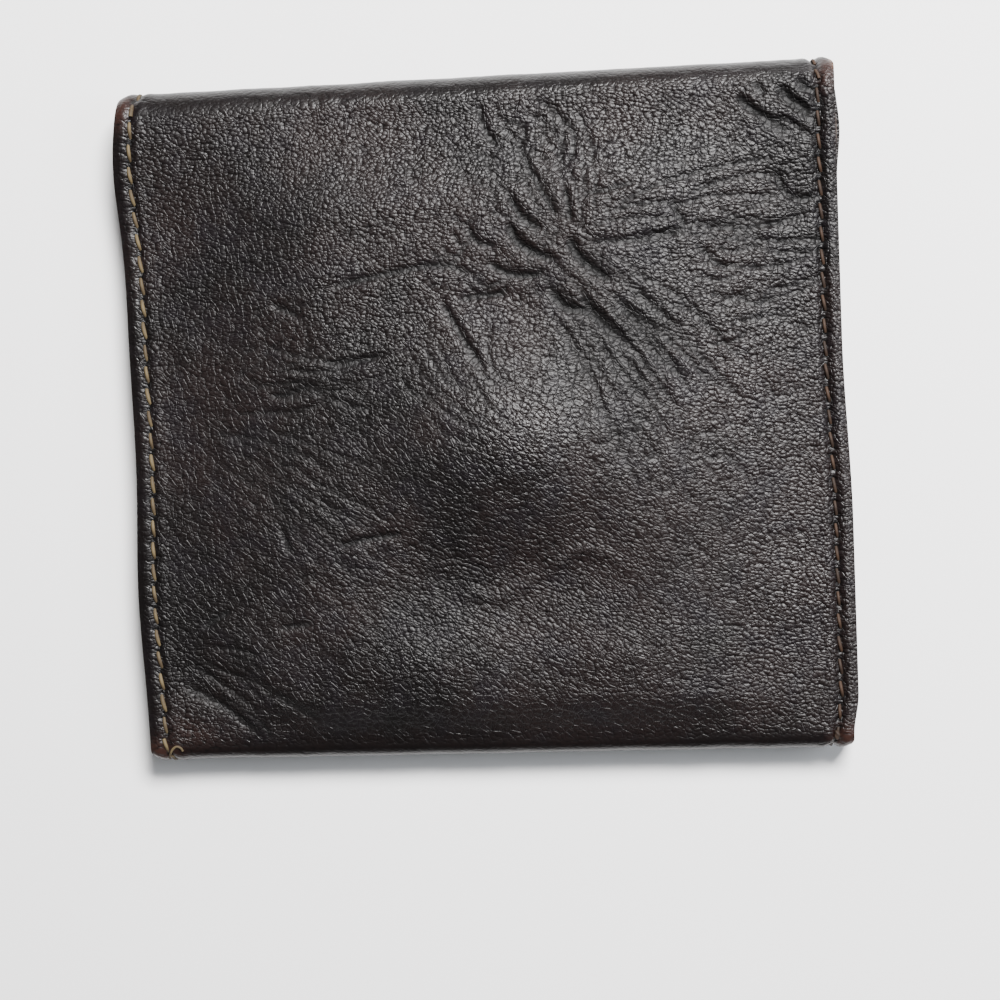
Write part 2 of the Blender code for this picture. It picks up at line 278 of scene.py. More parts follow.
@dataclass(frozen=True)
class LeatherFinish:
    """Dark brown grained leather, rubbed at corners and edges, with shade painted into its creases,
    needle holes and folds.
    """

    name: str = "brown_leather"
    dark: tuple[float, float, float] = (0.0016, 0.0010, 0.0010)
    brown: tuple[float, float, float] = (0.0062, 0.0034, 0.0032)
    violet: tuple[float, float, float] = (0.0045, 0.0032, 0.0044)
    rubbed: tuple[float, float, float] = (0.022, 0.0095, 0.0072)
    tan: tuple[float, float, float] = (0.11, 0.055, 0.032)
    deepest: tuple[float, float, float] = (0.0008, 0.0006, 0.0006)    # painted shade in creases and needle holes
    pebble: float = 0.37 * MM
    grain_height: float = 0.085 * MM
    dull: float = 0.44            # roughness of the untouched grain
    polished: float = 0.33        # roughness where handling has polished it

    def make(self) -> bpy.types.Material:
        """Build the leather's material.

        Returns:
            The material.
        """
        tree = Tree(self.name)
        strip = tree.strip()
        drift = tree.node("ShaderNodeTexNoise", {"noise_dimensions": "2D"},
                          {"Vector": strip, "Scale": 1 / (2.2 * MM), "Detail": 1.0}, "Color")
        sway = tree.node("ShaderNodeVectorMath", {"operation": "SCALE"},
                         {0: drift, "Scale": 0.55 * MM})
        bent = tree.node("ShaderNodeVectorMath", {"operation": "ADD"}, {0: strip, 1: sway})
        slant = tree.attribute(SLANT)
        level = tree.attribute(LEVEL)
        round_grain = tree.domes(tree.turned(bent, -8, (1.35, 1, 1)), self.pebble)
        slant_grain = tree.domes(tree.turned(bent, -30, (1.7, 1, 1)), self.pebble * 0.9)
        level_grain = tree.domes(tree.turned(bent, 3, (1.9, 1, 1)), self.pebble * 0.9)
        crackle = tree.cells(bent, 2.6 * self.pebble).eased(0.0, 0.10)
        plain = (1 - slant) * (1 - level)
        grain = round_grain * plain + slant_grain * slant + level_grain * (1 - slant) * level
        pores = tree.cloud(strip, 0.22 * MM, 3.0, 0.6)
        patches = tree.cloud(tree.place(), 14 * MM, 3.0, 0.55)
        blotches = tree.cloud(tree.place(), 5 * MM, 3.0, 0.6)
        crease = tree.attribute(CREASE)
        calm = tree.attribute(CALM_AND_SHADE)
        body = tree.mixed(patches.eased(0.35, 0.65), self.dark, self.brown)
        body = tree.mixed(blotches.eased(0.45, 0.7) * 0.7, body, self.violet)
        # painted shade: the calm share darkens the folds and the left edge towards the dark colour
        body = tree.mixed((1 - grain) * 0.55 + calm * 0.45, body, self.dark)
        wear = tree.attribute(WEAR) * (0.45 + 0.9 * blotches) * (0.55 + 0.45 * grain)
        body = tree.mixed(wear.eased(0.05, 0.75), body, self.rubbed)
        raw = tree.attribute(RAW) * (0.4 + 1.1 * tree.cloud(strip, 0.7 * MM, 2.0))
        body = tree.mixed(raw.eased(0.35, 0.9), body, self.tan)
        # painted shade: crease floors and needle holes darken towards the deepest colour
        shade = (crease * 1.1 + tree.attribute(PAINTED_SHADE)).eased(0.0, 0.9)
        body = tree.mixed(shade, body, self.deepest)
        polish = tree.attribute(POLISH) * (0.6 + 0.8 * patches)
        rough = self.dull - (self.dull - self.polished) * polish + 0.25 * crease - 0.08 * calm
        height = (grain + pores * 0.5) * (1 - 0.7 * calm) * (1 - 0.3 * crease)
        tree.bump(height + crackle * 0.5 * (1 - 0.8 * calm) - crease * 1.6, self.grain_height)
        return tree.finish(body, rough, Specular_IOR_Level=0.27)


@dataclass(frozen=True)
class ClothFinish:
    """Plain-woven lining cloth."""

    name: str = "lining_weave"
    light: tuple[float, float, float] = (0.050, 0.034, 0.026)
    dark: tuple[float, float, float] = (0.018, 0.012, 0.0095)
    yarn: float = 0.34 * MM

    def make(self) -> bpy.types.Material:
        """Build the cloth's material: two sets of yarns that pass over and under.

        Returns:
            The material.
        """
        tree = Tree(self.name)
        strip = tree.strip()
        split = tree.nodes.new("ShaderNodeSeparateXYZ")
        tree.feed(split.inputs[0], strip)
        turn = math.pi / self.yarn
        across = (Value(tree, split.outputs["X"]) * turn).sine()
        along = (Value(tree, split.outputs["Y"]) * turn).sine()
        over = (across * along) * 0.5 + 0.5
        slubs = tree.cloud(tree.turned(strip, 0, (6, 1, 1)), 0.5 * MM, 2.0)
        body = tree.mixed(over * 0.7 + slubs * 0.3, self.dark, self.light)
        dust = tree.cloud(tree.place(), 9 * MM, 3.0)
        body = tree.mixed(dust.eased(0.5, 0.8) * 0.35, body, self.dark)
        tree.bump(over + slubs * 0.4, 0.06 * MM)
        return tree.finish(body, 0.82 + 0.1 * (slubs - 0.5), Sheen_Weight=0.25)


@dataclass(frozen=True)
class ThreadFinish:
    """Waxed twisted sewing thread."""

    name: str
    light: tuple[float, float, float]
    dark: tuple[float, float, float]
    twist: float = 0.30 * MM

    def make(self) -> bpy.types.Material:
        """Build the thread's material: slanting plies and a little dirt.

        Returns:
            The material.
        """
        tree = Tree(self.name)
        place = tree.place()
        plies = tree.node("ShaderNodeTexWave", {"bands_direction": "DIAGONAL"},
                          {"Vector": place, "Scale": 0.05 / self.twist, "Distortion": 1.5}, 1)
        dirt = tree.cloud(place, 2.5 * MM, 3.0, 0.6)
        fuzz = tree.cloud(place, 0.2 * MM, 2.0, 0.6)
        body = tree.mixed(plies * 0.6 + fuzz * 0.4, self.dark, self.light)
        body = tree.mixed(dirt.eased(0.48, 0.75) * 0.7, body, self.dark)
        tree.bump(plies + fuzz * 0.5, 0.05 * MM)
        return tree.finish(body, 0.70 + 0.2 * (fuzz - 0.5), Specular_IOR_Level=0.25)


@dataclass(frozen=True)
class MetalFinish:
    """Pressed metal with tarnish and fine scratches."""

    name: str
    bright: tuple[float, float, float]
    tarnish: tuple[float, float, float]
    roughness: float

    def make(self) -> bpy.types.Material:
        """Build the metal's material.

        Returns:
            The material.
        """
        tree = Tree(self.name)
        place = tree.place()
        stain = tree.cloud(place, 3.0 * MM, 4.0, 0.6)
        scratch = tree.cloud(tree.turned(place, 25, (9, 1, 1)), 0.25 * MM, 2.0)
        body = tree.mixed(stain.eased(0.4, 0.72), self.bright, self.tarnish)
        rough = self.roughness + 0.25 * stain.eased(0.4, 0.75) + 0.08 * (scratch - 0.5)
        tree.bump(scratch, 0.006 * MM)
        return tree.finish(body, rough, Metallic=1.0)


# ---------------------------------------------------------------- sizes and surfaces

def smooth(share: Grid) -> Grid:
    """Ease from 0 to 1 with level ends."""
    share = np.clip(share, 0, 1)
    return share * share * (3 - 2 * share)


def hill(x: Grid, y: Grid, at: Point, size: Point, turn: float = 0.0) -> Grid:
    """A round or oval hill of height 1.

    Args:
        x, y: places, in metres.
        at: the hill's middle, in millimetres.
        size: its two radii, in millimetres.
        turn: degrees that its first radius is turned from X.

    Returns:
        The hill's height at each place.
    """
    across, up = x / MM - at[0], y / MM - at[1]
    cos, sin = math.cos(math.radians(turn)), math.sin(math.radians(turn))
    first = (across * cos + up * sin) / size[0]
    second = (up * cos - across * sin) / size[1]
    return np.exp(-first ** 2 - second ** 2)


@dataclass(frozen=True)
class Strip:
    """The leather strip's run through space.

    A station says how far along the strip a place is: 0-1 front panel from the mouth down,
    1-2 bottom fold, 2-3 rear panel, 3-4 top fold, 4-5 flap.
    """

    half_width: float
    hinge_y: float
    fold_radius: float
    front_z: float
    bottom_edge: float
    flap_end: float
    snap_y: float
    cap_radius: float
    leather: float = 0.9 * MM
    lining: float = 0.3 * MM
    gap: float = 0.3 * MM
    bottom_radius: float = 1.65 * MM
    mouth_setback: float = 12.3 * MM
    crown_z: float = 8.7 * MM
    side_margin: float = 1.5 * MM
    side_slope: float = 26.0 * MM
    top_slope: float = 13.0 * MM
    bottom_slope: float = 24.0 * MM
    bottom_turn: float = 5.5 * MM
    bottom_share: float = 0.5
    stud_bulge: float = 1.6 * MM
    bulge_radius: float = 19.0 * MM
    flap_corner: float = 12.0 * MM
    dish_shoulder: float = 1.8 * MM
    flap_dish: float = 1.2 * MM
    flap_dish_slope: float = 6.0 * MM
    front_dish: float = 4.0 * MM
    front_dish_slope: float = 11.0 * MM
    seam_inset: float = 2.0 * MM
    end_round: float = 1.1 * MM
    flap_proud: float = 0.55 * MM      # how far the flap shows past the back's right edge

    @classmethod
    def from_frame(cls) -> "Strip":
        """Read the sizes that the CAD nodes give.

        Returns:
            The strip.
        """
        body_low, body_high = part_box("outer_leather")
        _, fold_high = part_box("top_fold_leather")
        flap_low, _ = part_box("flap_leather")
        cap_low, cap_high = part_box("snap_cap")
        radius = fold_high[2] / 2
        return cls(half_width=body_high[0], hinge_y=fold_high[1] - radius, fold_radius=radius,
                   front_z=body_low[2], bottom_edge=body_low[1], flap_end=flap_low[1],
                   snap_y=(cap_low[1] + cap_high[1]) / 2,
                   cap_radius=(cap_high[0] - cap_low[0]) / 2)

    @property
    def bottom_y(self) -> float:
        """Y where the bottom fold starts to turn."""
        return self.bottom_edge + self.bottom_radius

    @property
    def mouth_y(self) -> float:
        """Y of the front panel's mouth edge."""
        return self.hinge_y - self.mouth_setback

    @property
    def layers(self) -> float:
        """Depth of the leather, its gap and the lining."""
        return self.leather + self.gap + self.lining

    def lengths(self) -> Grid:
        """Distance along the strip at each whole station.

        Returns:
            Six distances, from 0 at the mouth's edge.
        """
        runs = [self.mouth_y - self.bottom_y, math.pi * self.bottom_radius,
                self.hinge_y - self.bottom_y, math.pi * self.fold_radius,
                self.hinge_y - self.flap_end]
        return np.concatenate([[0.0], np.cumsum(runs)])

    def station(self, distance: Grid) -> Grid:
        """Station at a distance along the strip."""
        return np.interp(distance, self.lengths(), np.arange(6))

    def distance(self, station: Grid) -> Grid:
        """Distance along the strip at a station."""
        return np.interp(station, np.arange(6), self.lengths())

    def unrolled(self, station: Grid) -> Grid:
        """Y on the rear panel, run on past both folds as if the strip were flat."""
        return self.distance(station) - self.distance(2) + self.bottom_y

    def dish(self, x: Grid, y: Grid, slope: float) -> Grid:
        """1 over the press stud, falling to 0 past its shoulder."""
        reach = self.cap_radius + self.dish_shoulder + slope
        return smooth((reach - np.hypot(x, y - self.snap_y)) / slope)

    def rear_z(self, x: Grid, y: Grid) -> Grid:
        """Outer height of the rear panel.

        Args:
            x, y: places on the rear panel.

        Returns:
            The height at each place.
        """
        to_top = smooth((self.hinge_y - y) / self.top_slope)
        from_bottom = y - self.bottom_y
        to_bottom = (self.bottom_share * smooth(from_bottom / self.bottom_turn)
                     + (1 - self.bottom_share) * smooth(from_bottom / self.bottom_slope))
        to_side = smooth((self.half_width - self.side_margin - np.abs(x)) / self.side_slope)
        seam_z = self.front_z + 2 * self.bottom_radius
        rim = 2 * self.fold_radius + (seam_z - 2 * self.fold_radius) * to_top
        bulge = smooth(1 - np.hypot(x, y - self.snap_y) / self.bulge_radius)
        return rim + (self.crown_z - rim) * to_top * to_bottom * to_side + self.stud_bulge * bulge

    def towards_side(self, x: Grid) -> Grid:
        """0 up to half way out to the right side, then easing to 1 at its edge."""
        return smooth(x / self.half_width * 2.2 - 1.2)

    def side_drift(self, x: Grid, y: Grid) -> Grid:
        """How far the hand-cut sides stray from straight, growing from the middle outwards.

        Args:
            x, y: places on the strip.

        Returns:
            The drift along X at each place.
        """
        # three bulges down the left side, and one long one low on the right
        left = (1.25 * hill(0 * x, y, (0, 31), (1, 9)) + 0.55 * hill(0 * x, y, (0, 12), (1, 16))
                + 0.75 * hill(0 * x, y, (0, -20), (1, 12)))
        right = 0.65 * smooth((8 - y / MM) / 22) * smooth((y / MM + 39) / 5)
        return (right * self.towards_side(x) - left * self.towards_side(-x)) * MM

    def place(self, x: Grid, station: Grid) -> Grid:
        """Points on the outside of the strip.

        Args:
            x: places across, as a row.
            station: stations along, as a column.

        Returns:
            An array of rows, columns and XYZ.
        """
        x, station = np.broadcast_arrays(x, station)
        low_turn = np.pi * np.clip(station - 1, 0, 1)
        top_turn = np.pi * np.clip(station - 3, 0, 1)
        part = [station <= 1, station < 2, station <= 3, station < 4]
        front_y = self.mouth_y + (self.bottom_y - self.mouth_y) * station
        low_y = self.bottom_y - self.bottom_radius * np.sin(low_turn)
        rear_y = self.bottom_y + (self.hinge_y - self.bottom_y) * (station - 2)
        fold_y = self.hinge_y + self.fold_radius * np.sin(top_turn)
        flap_y = self.hinge_y + (self.flap_end - self.hinge_y) * (station - 4)
        y = np.select(part, [front_y, low_y, rear_y, fold_y], flap_y)
        # the flap narrows round its corners, and the ends of both folds are rounded off
        corner = np.clip(self.flap_end + self.flap_corner - y, 0, self.flap_corner)
        flap_half = (self.half_width - self.flap_corner
                     + np.sqrt(np.maximum(self.flap_corner ** 2 - corner ** 2, 0)))
        x = np.where(station > 4, x * flap_half / self.half_width, x)
        near_end = np.maximum(y - (self.hinge_y + self.fold_radius - self.end_round),
                              self.bottom_edge + self.end_round - y)
        pull = 1 - np.sqrt(np.maximum(1 - np.clip(near_end / self.end_round, 0, 1) ** 2, 0))
        x = x * (1 - pull * self.end_round * 0.8 / self.half_width)
        z = np.select(part, [
            self.front_z + self.front_dish * self.dish(x, y, self.front_dish_slope),
            self.front_z + self.bottom_radius * (1 - np.cos(low_turn)),
            self.rear_z(x, rear_y),
            self.fold_radius * (1 + np.cos(top_turn)),
        ], self.flap_dish * self.dish(x, y, self.flap_dish_slope))
        proud = self.flap_proud * hill(0 * x, y, (0, 32.5), (1, 4)) * self.towards_side(x)
        drift = self.side_drift(x, y) + np.where(station > 4, proud, 0)
        return np.stack([x + drift, y, z], axis=-1)


def facing(points: Grid) -> Grid:
    """Outward unit normals of a grid of points.

    Args:
        points: rows, columns and XYZ.

    Returns:
        One direction for each point.
    """
    across = np.gradient(points, axis=1)
    along = np.gradient(points, axis=0)
    normal = np.cross(across, along)
    return normal / np.maximum(np.linalg.norm(normal, axis=-1, keepdims=True), 1e-12)


# ---------------------------------------------------------------- relief of the worn leather

def flow(points: tuple[tuple[float, ...], ...], count: int = 8) -> Grid:
    """A smooth line through given points, as a Catmull-Rom curve.

    Args:
        points: the places that it passes through.
        count: steps from one to the next.

    Returns:
        The line's points.
    """
    known = np.array(points, float)
    known = np.vstack([2 * known[0] - known[1], known, 2 * known[-1] - known[-2]])
    share = np.linspace(0, 1, count, endpoint=False)[:, None]
    line = []
    for before, start, end, after in zip(known, known[1:], known[2:], known[3:]):
        line.append(0.5 * (2 * start + (end - before) * share
                           + (2 * before - 5 * start + 4 * end - after) * share ** 2
                           + (3 * start - before - 3 * end + after) * share ** 3))
    return np.vstack(line + [known[-2]])


def lattice(x: Grid, y: Grid, seed: int) -> Grid:
    """Smooth noise from 0 to 1 with features of size 1.

    Args:
        x, y: places.
        seed: fixes the pattern.

    Returns:
        The noise at each place.
    """
    table = np.random.default_rng(seed).random((64, 64))
    column, row = np.floor(x).astype(int), np.floor(y).astype(int)
    across, up = smooth(x - column), smooth(y - row)
    corner = [table[(row + j) % 64, (column + i) % 64] for j in (0, 1) for i in (0, 1)]
    low = corner[0] + (corner[1] - corner[0]) * across
    high = corner[2] + (corner[3] - corner[2]) * across
    return low + (high - low) * up


@dataclass(frozen=True)
class Crease:
    """A crease that runs through points given in millimetres on the unrolled strip."""

    points: tuple[Point, ...]
    depth: float
    width: float = 0.40
    lip: float = 0.18
    taper: float = 0.22         # share of its length over which each end fades
    lip_out: float = 2.6        # where the raised lip stands and how wide it is, in widths
    lip_wide: float = 1.7
    reach: float = 5.0          # how far past its line's box it presses, in widths

    def press(self, x: Grid, y: Grid, height: Grid, mark: Grid) -> None:
        """Press the crease into a height map and mark its floor, both in place.

        Args:
            x, y: places on the unrolled strip, in millimetres.
            height: heights, in millimetres.
            mark: mask of the floors.
        """
        line = flow(self.points)
        reach = self.reach * self.width
        near = ((x > line[:, 0].min() - reach) & (x < line[:, 0].max() + reach)
                & (y > line[:, 1].min() - reach) & (y < line[:, 1].max() + reach))
        if not near.any():
            return
        spot = np.stack([x[near], y[near]], axis=-1)
        best = np.full(len(spot), np.inf)
        share = np.zeros(len(spot))
        steps = len(line) - 1
        for number, (start, end) in enumerate(zip(line, line[1:])):
            run = end - start
            along = np.clip((spot - start) @ run / max(run @ run, 1e-9), 0, 1)
            far = np.hypot(*(spot - start - along[:, None] * run).T)
            closer = far < best
            best[closer] = far[closer]
            share[closer] = (number + along[closer]) / steps
        fade = smooth(share / self.taper) * smooth((1 - share) / self.taper)
        ragged = 0.75 + 0.5 * lattice(spot[:, 0] * 1.3, spot[:, 1] * 1.3, 5)
        groove = np.exp(-(best / self.width) ** 2)
        from_lip = (best - self.lip_out * self.width) / (self.lip_wide * self.width)
        raised = np.exp(-from_lip ** 2)
        height[near] += fade * ragged * self.depth * (self.lip * raised - groove)
        mark[near] = np.maximum(mark[near], fade * groove * min(1, 0.35 + 1.5 * self.depth))


@dataclass(frozen=True)
class Gather:
    """A fan of fine creases drawn towards one place, in millimetres and degrees."""

    hub: Point
    reach: Point                # distances from the hub at which they start and end
    turns: Point                # directions of the first and the last
    count: int
    depth: float
    seed: int
    bow: float = 0.0            # how far each bends sideways
    width: float = 0.32
    lip: float = 0.12

    def creases(self) -> list[Crease]:
        """Work out the creases of the fan, each a little different.

        Returns:
            The creases.
        """
        chance = np.random.default_rng(self.seed)
        made = []
        for number in range(self.count):
            share = (number + chance.uniform(0.1, 0.9)) / self.count
            turn = math.radians(self.turns[0] + share * (self.turns[1] - self.turns[0]))
            start = self.reach[0] * chance.uniform(0.6, 1.6)
            length = (self.reach[1] - start) * chance.uniform(0.45, 1.0)
            points = []
            for along in (0.0, 0.35, 0.7, 1.0):
                aside = self.bow * math.sin(math.pi * along) + chance.uniform(-0.45, 0.45)
                out = start + along * length
                points.append((self.hub[0] + out * math.cos(turn) - aside * math.sin(turn),
                               self.hub[1] + out * math.sin(turn) + aside * math.cos(turn)))
            depth = self.depth * chance.uniform(0.5, 1.3)
            made.append(Crease(tuple(points), depth, self.width, self.lip))
        return made


@dataclass(frozen=True)
class Swell:
    """A broad rise or hollow, in millimetres on the unrolled strip."""

    at: Point
    size: Point
    height: float
    turn: float = 0.0


def summed(swells: tuple[Swell, ...], x: Grid, y: Grid) -> Grid:
    """Heights of some swells added up.

    Args:
        swells: the rises and hollows.
        x, y: places on the unrolled strip, in metres.

    Returns:
        The height at each place, in the swells' own unit.
    """
    total = 0 * x * y
    for swell in swells:
        total = total + swell.height * hill(x, y, swell.at, swell.size, swell.turn)
    return total


@dataclass(frozen=True)
class WrinkleField:
    """Fine creases that run one way in a part of the leather, in millimetres."""

    at: Point
    size: Point
    turn: float
    depth: float
    seed: int
    spacing: float = 1.8
    stretch: float = 4.0
    onset: float = 0.78         # height of a noise ridge at which a wrinkle starts

    def press(self, x: Grid, y: Grid, height: Grid, mark: Grid) -> None:
        """Press the wrinkles into a height map and mark them, both in place.

        Args:
            x, y: places on the unrolled strip, in millimetres.
            height: heights, in millimetres.
            mark: mask of the floors.
        """
        zone = hill(x * MM, y * MM, self.at, self.size, self.turn)
        cos, sin = math.cos(math.radians(self.turn)), math.sin(math.radians(self.turn))
        bend = 2.2 * (lattice(x / 7, y / 7, self.seed + 1) - 0.5)
        along = (x * cos + y * sin) / (self.spacing * self.stretch)
        across = (y * cos - x * sin + bend) / self.spacing
        ridge = 1 - np.abs(2 * lattice(along + 40, across + 40, self.seed) - 1)
        fine = 1 - np.abs(2 * lattice(along * 1.9 + 9, across * 1.9 + 9, self.seed + 2) - 1)
        rest = 1 - self.onset
        groove = smooth((ridge - self.onset) / rest) + 0.6 * smooth((fine - self.onset) / rest)
        swell = lattice(along * 0.7 + 3, across * 0.55 + 3, self.seed + 3) - 0.5
        height += self.depth * zone * (0.9 * swell - groove)
        mark[:] = np.maximum(mark, zone * groove * min(1.0, 3.6 * self.depth))


@dataclass(frozen=True)
class Relief:
    """Everything that years of use pressed into the strip, on the unrolled strip."""

    swells: tuple[Swell, ...] = (
        Swell((5, -4), (10, 7.5), 0.95),               # over the press stud
        Swell((3, 13), (8, 2.5), -0.28),               # shadowed hollow above it
        Swell((2, -20), (22, 7.5), -1.50),             # and below it
        Swell((15, 7), (3.5, 5), -0.22, -60),          # hollow below the deep pulls
        Swell((1.5, 22), (2.5, 2), 0.16),              # little pillows between them
        Swell((8, 20), (2.5, 1.5), 0.18),
        Swell((14, 22), (3, 2), 0.18),
        Swell((30, 4), (9, 14), 0.30),
        Swell((36, -23), (5, 5), 0.25),
        Swell((35, 33.5), (1.4, 3), 0.22, 40),         # pillows in the upper right corner
        Swell((38, 29), (2.5, 2), 0.22),
        Swell((28, 29), (6, 3), 0.20),
        Swell((-24, 6.5), (6, 2), 0.20, 8),            # low folds on the left
        Swell((-14, 6), (5, 1.5), 0.12, 8),
        Swell((-29, -28), (7, 3), 0.26, -38),          # ridge and hollow by the lower left corner
        Swell((-34, -31.5), (4.5, 2.5), -0.36, -20),
        Swell((-9, -30), (8, 4), 0.30),
        Swell((15, -31), (6, 4), 0.16),
    )
    creases: tuple[Crease, ...] = (
        # drawn down from the top fold into a knot right of the middle
        Crease(((1, 37), (1.5, 34), (3.5, 31)), 0.22),
        Crease(((5, 33), (7.5, 27.5), (10.5, 22)), 0.30),
        Crease(((4, 26.5), (6, 23), (8.5, 21.5)), 0.32),
        Crease(((11, 27), (11.5, 22)), 0.26),
        Crease(((4, 23), (5.5, 20), (10.5, 17.5)), 0.40, 0.5),
        Crease(((-1, 23), (0.5, 20.5), (3, 20)), 0.24),
        Crease(((11, 21), (12.5, 18), (17, 14.5)), 0.46, 0.55),
        # drawn on from the knot to the lower right
        Crease(((8, 15.5), (10.5, 12.5), (13.5, 11.5), (19, 6)), 0.44, 0.55),
        Crease(((12, 14), (15, 10.5)), 0.30),
        Crease(((16, 14), (20.5, 7.5), (24, 3)), 0.22),
        # bowed round the top and left of the press stud's swelling
        Crease(((1, 18.5), (4.5, 16.5), (9, 16.5)), 0.34),
        Crease(((-19, 15.5), (-12, 17), (-4, 18), (1, 16)), 0.20, 0.5),
        Crease(((-2.5, 14), (4.5, 14.5)), 0.22, 0.5),
        Crease(((-4.5, 14.5), (-2, 10), (1.5, 4.5)), 0.28),
        # spread towards the right seam
        Crease(((12, 25.5), (16, 26), (20, 27)), 0.18),
        Crease(((12, 20), (20, 20), (25, 21)), 0.18, 0.5),
        Crease(((23, 24.5), (25, 21)), 0.24),
        Crease(((25, 21), (33, 21), (40, 22.5)), 0.20),
        Crease(((25.5, 19.5), (30, 15.5)), 0.20),
        Crease(((30, 13.5), (32.5, 12), (36, 13)), 0.20),
        # gathered into the upper right corner
        Crease(((31, 36.5), (33, 34.5), (38.5, 31)), 0.42, 0.5),
        Crease(((35.5, 37.5), (38, 35), (40, 33.5)), 0.46, 0.5),
        Crease(((33, 38), (34.5, 36)), 0.22),
        Crease(((38, 38), (40, 36)), 0.34),
        Crease(((35.5, 28), (36, 25.5), (38, 24), (41, 24.5)), 0.28),
        # short folds on the left
        Crease(((-19.5, 7.5), (-15.5, 7), (-10, 8)), 0.22),
        Crease(((-26, 3.5), (-23, 3.5), (-19, 5)), 0.22),
        Crease(((-25, 14.5), (-21, 12.5)), 0.20),
        Crease(((-25, -12), (-23.5, -16)), 0.18),
        Crease(((-18.5, -15), (-14, -14), (-9, -13.5)), 0.22),
        Crease(((-35, -24.5), (-31, -22)), 0.20),
        Crease(((-26, -24.5), (-21, -24)), 0.16),
        # crumpled lower left corner
        Crease(((-38.5, -31), (-33, -34), (-28, -38)), 0.16, 0.6),
        Crease(((-35, -30), (-30, -35), (-25, -38.5)), -0.16, 0.9, 0.2),
        Crease(((-27, -32), (-21, -36)), 0.14, 0.5),
        # low ridge under the swelling
        Crease(((-4, -19.5), (0, -21.5), (6, -19.5), (12, -16), (19, -20)), -0.18, 0.8, 0.2),
    )
    gathers: tuple[Gather, ...] = (
        Gather((13, 15), (11, 24), (92, 128), 9, 0.15, 11, -2.0),    # down from the top fold
        Gather((16, 12), (13, 29), (100, 142), 16, 0.07, 31, -2.0),
        Gather((13, 17), (9, 20), (150, 186), 6, 0.12, 12, 2.0),
        Gather((4, 26), (14, 38), (-62, -34), 10, 0.16, 13, 1.0),    # on to the lower right
        Gather((0, 30), (16, 46), (-66, -38), 16, 0.08, 33, 1.0),
        Gather((5, 21), (12, 34), (-8, 14), 8, 0.11, 14, 1.5),
        Gather((58, 18), (17, 34), (168, 198), 12, 0.12, 15, 1.0),   # to the right seam
        Gather((44, 29), (5, 12), (118, 168), 7, 0.20, 16, -0.6),    # into the corner
        Gather((-8, 4), (8, 26), (158, 188), 7, 0.08, 17, 0.8),
        Gather((-30, 6), (8, 24), (-16, 16), 6, 0.07, 18, -0.8),
        Gather((-46, -22), (10, 26), (-46, -18), 8, 0.12, 19, 1.0),  # lower left corner
        Gather((12, -10), (14, 30), (118, 150), 9, 0.06, 20, 1.5),
        Gather((-40, 2), (10, 34), (-48, -14), 10, 0.06, 21, 1.0),
    )
    fields: tuple[WrinkleField, ...] = (
        WrinkleField((8, 22), (18, 14), -60, 0.10, 11, 1.2),
        WrinkleField((20, 0), (20, 14), -58, 0.10, 31, 1.1),
        WrinkleField((32, 16), (14, 18), 5, 0.09, 43, 1.1),
        WrinkleField((36, 33), (8, 6), -42, 0.10, 47, 1.1),
        WrinkleField((-22, 8), (16, 12), 12, 0.09, 61, 1.3),
        WrinkleField((-20, -12), (22, 14), -45, 0.08, 71, 1.3),
        WrinkleField((2, -22), (22, 8), -25, 0.07, 83, 1.3),
        WrinkleField((-12, 28), (22, 9), -50, 0.06, 97, 1.4, 3),
        WrinkleField((0, -80), (60, 22), 4, 0.10, 113, 2.2, 3),      # front panel
        WrinkleField((0, 60), (60, 12), 2, 0.12, 127, 1.9, 4),       # flap, near the fold
        WrinkleField((10, 84), (50, 20), -28, 0.09, 131, 2.1, 3),
    )
    wander: float = 0.10        # height of the soft unevenness all over, in millimetres

    def broad(self, x: Grid, y: Grid) -> Grid:
        """Height of the broad rises and hollows, in metres."""
        return summed(self.swells, x, y) * MM

    def pressed(self, x: Grid, y: Grid) -> tuple[Grid, Grid]:
        """Height of the creases and wrinkles in metres, and their mark from 0 to 1.

        Args:
            x, y: places on the unrolled strip, in metres.

        Returns:
            The height and the mark at each place.
        """
        x, y = np.broadcast_arrays(x / MM, y / MM)
        height = self.wander * (lattice(x / 4, y / 4, 3) + 0.5 * lattice(x / 1.7, y / 1.7, 4) - 0.75)
        mark = np.zeros_like(height)
        for wrinkles in self.fields:
            wrinkles.press(x, y, height, mark)
        fans = [crease for gather in self.gathers for crease in gather.creases()]
        for crease in [*self.creases, *fans]:
            crease.press(x, y, height, mark)
        return height * MM, mark


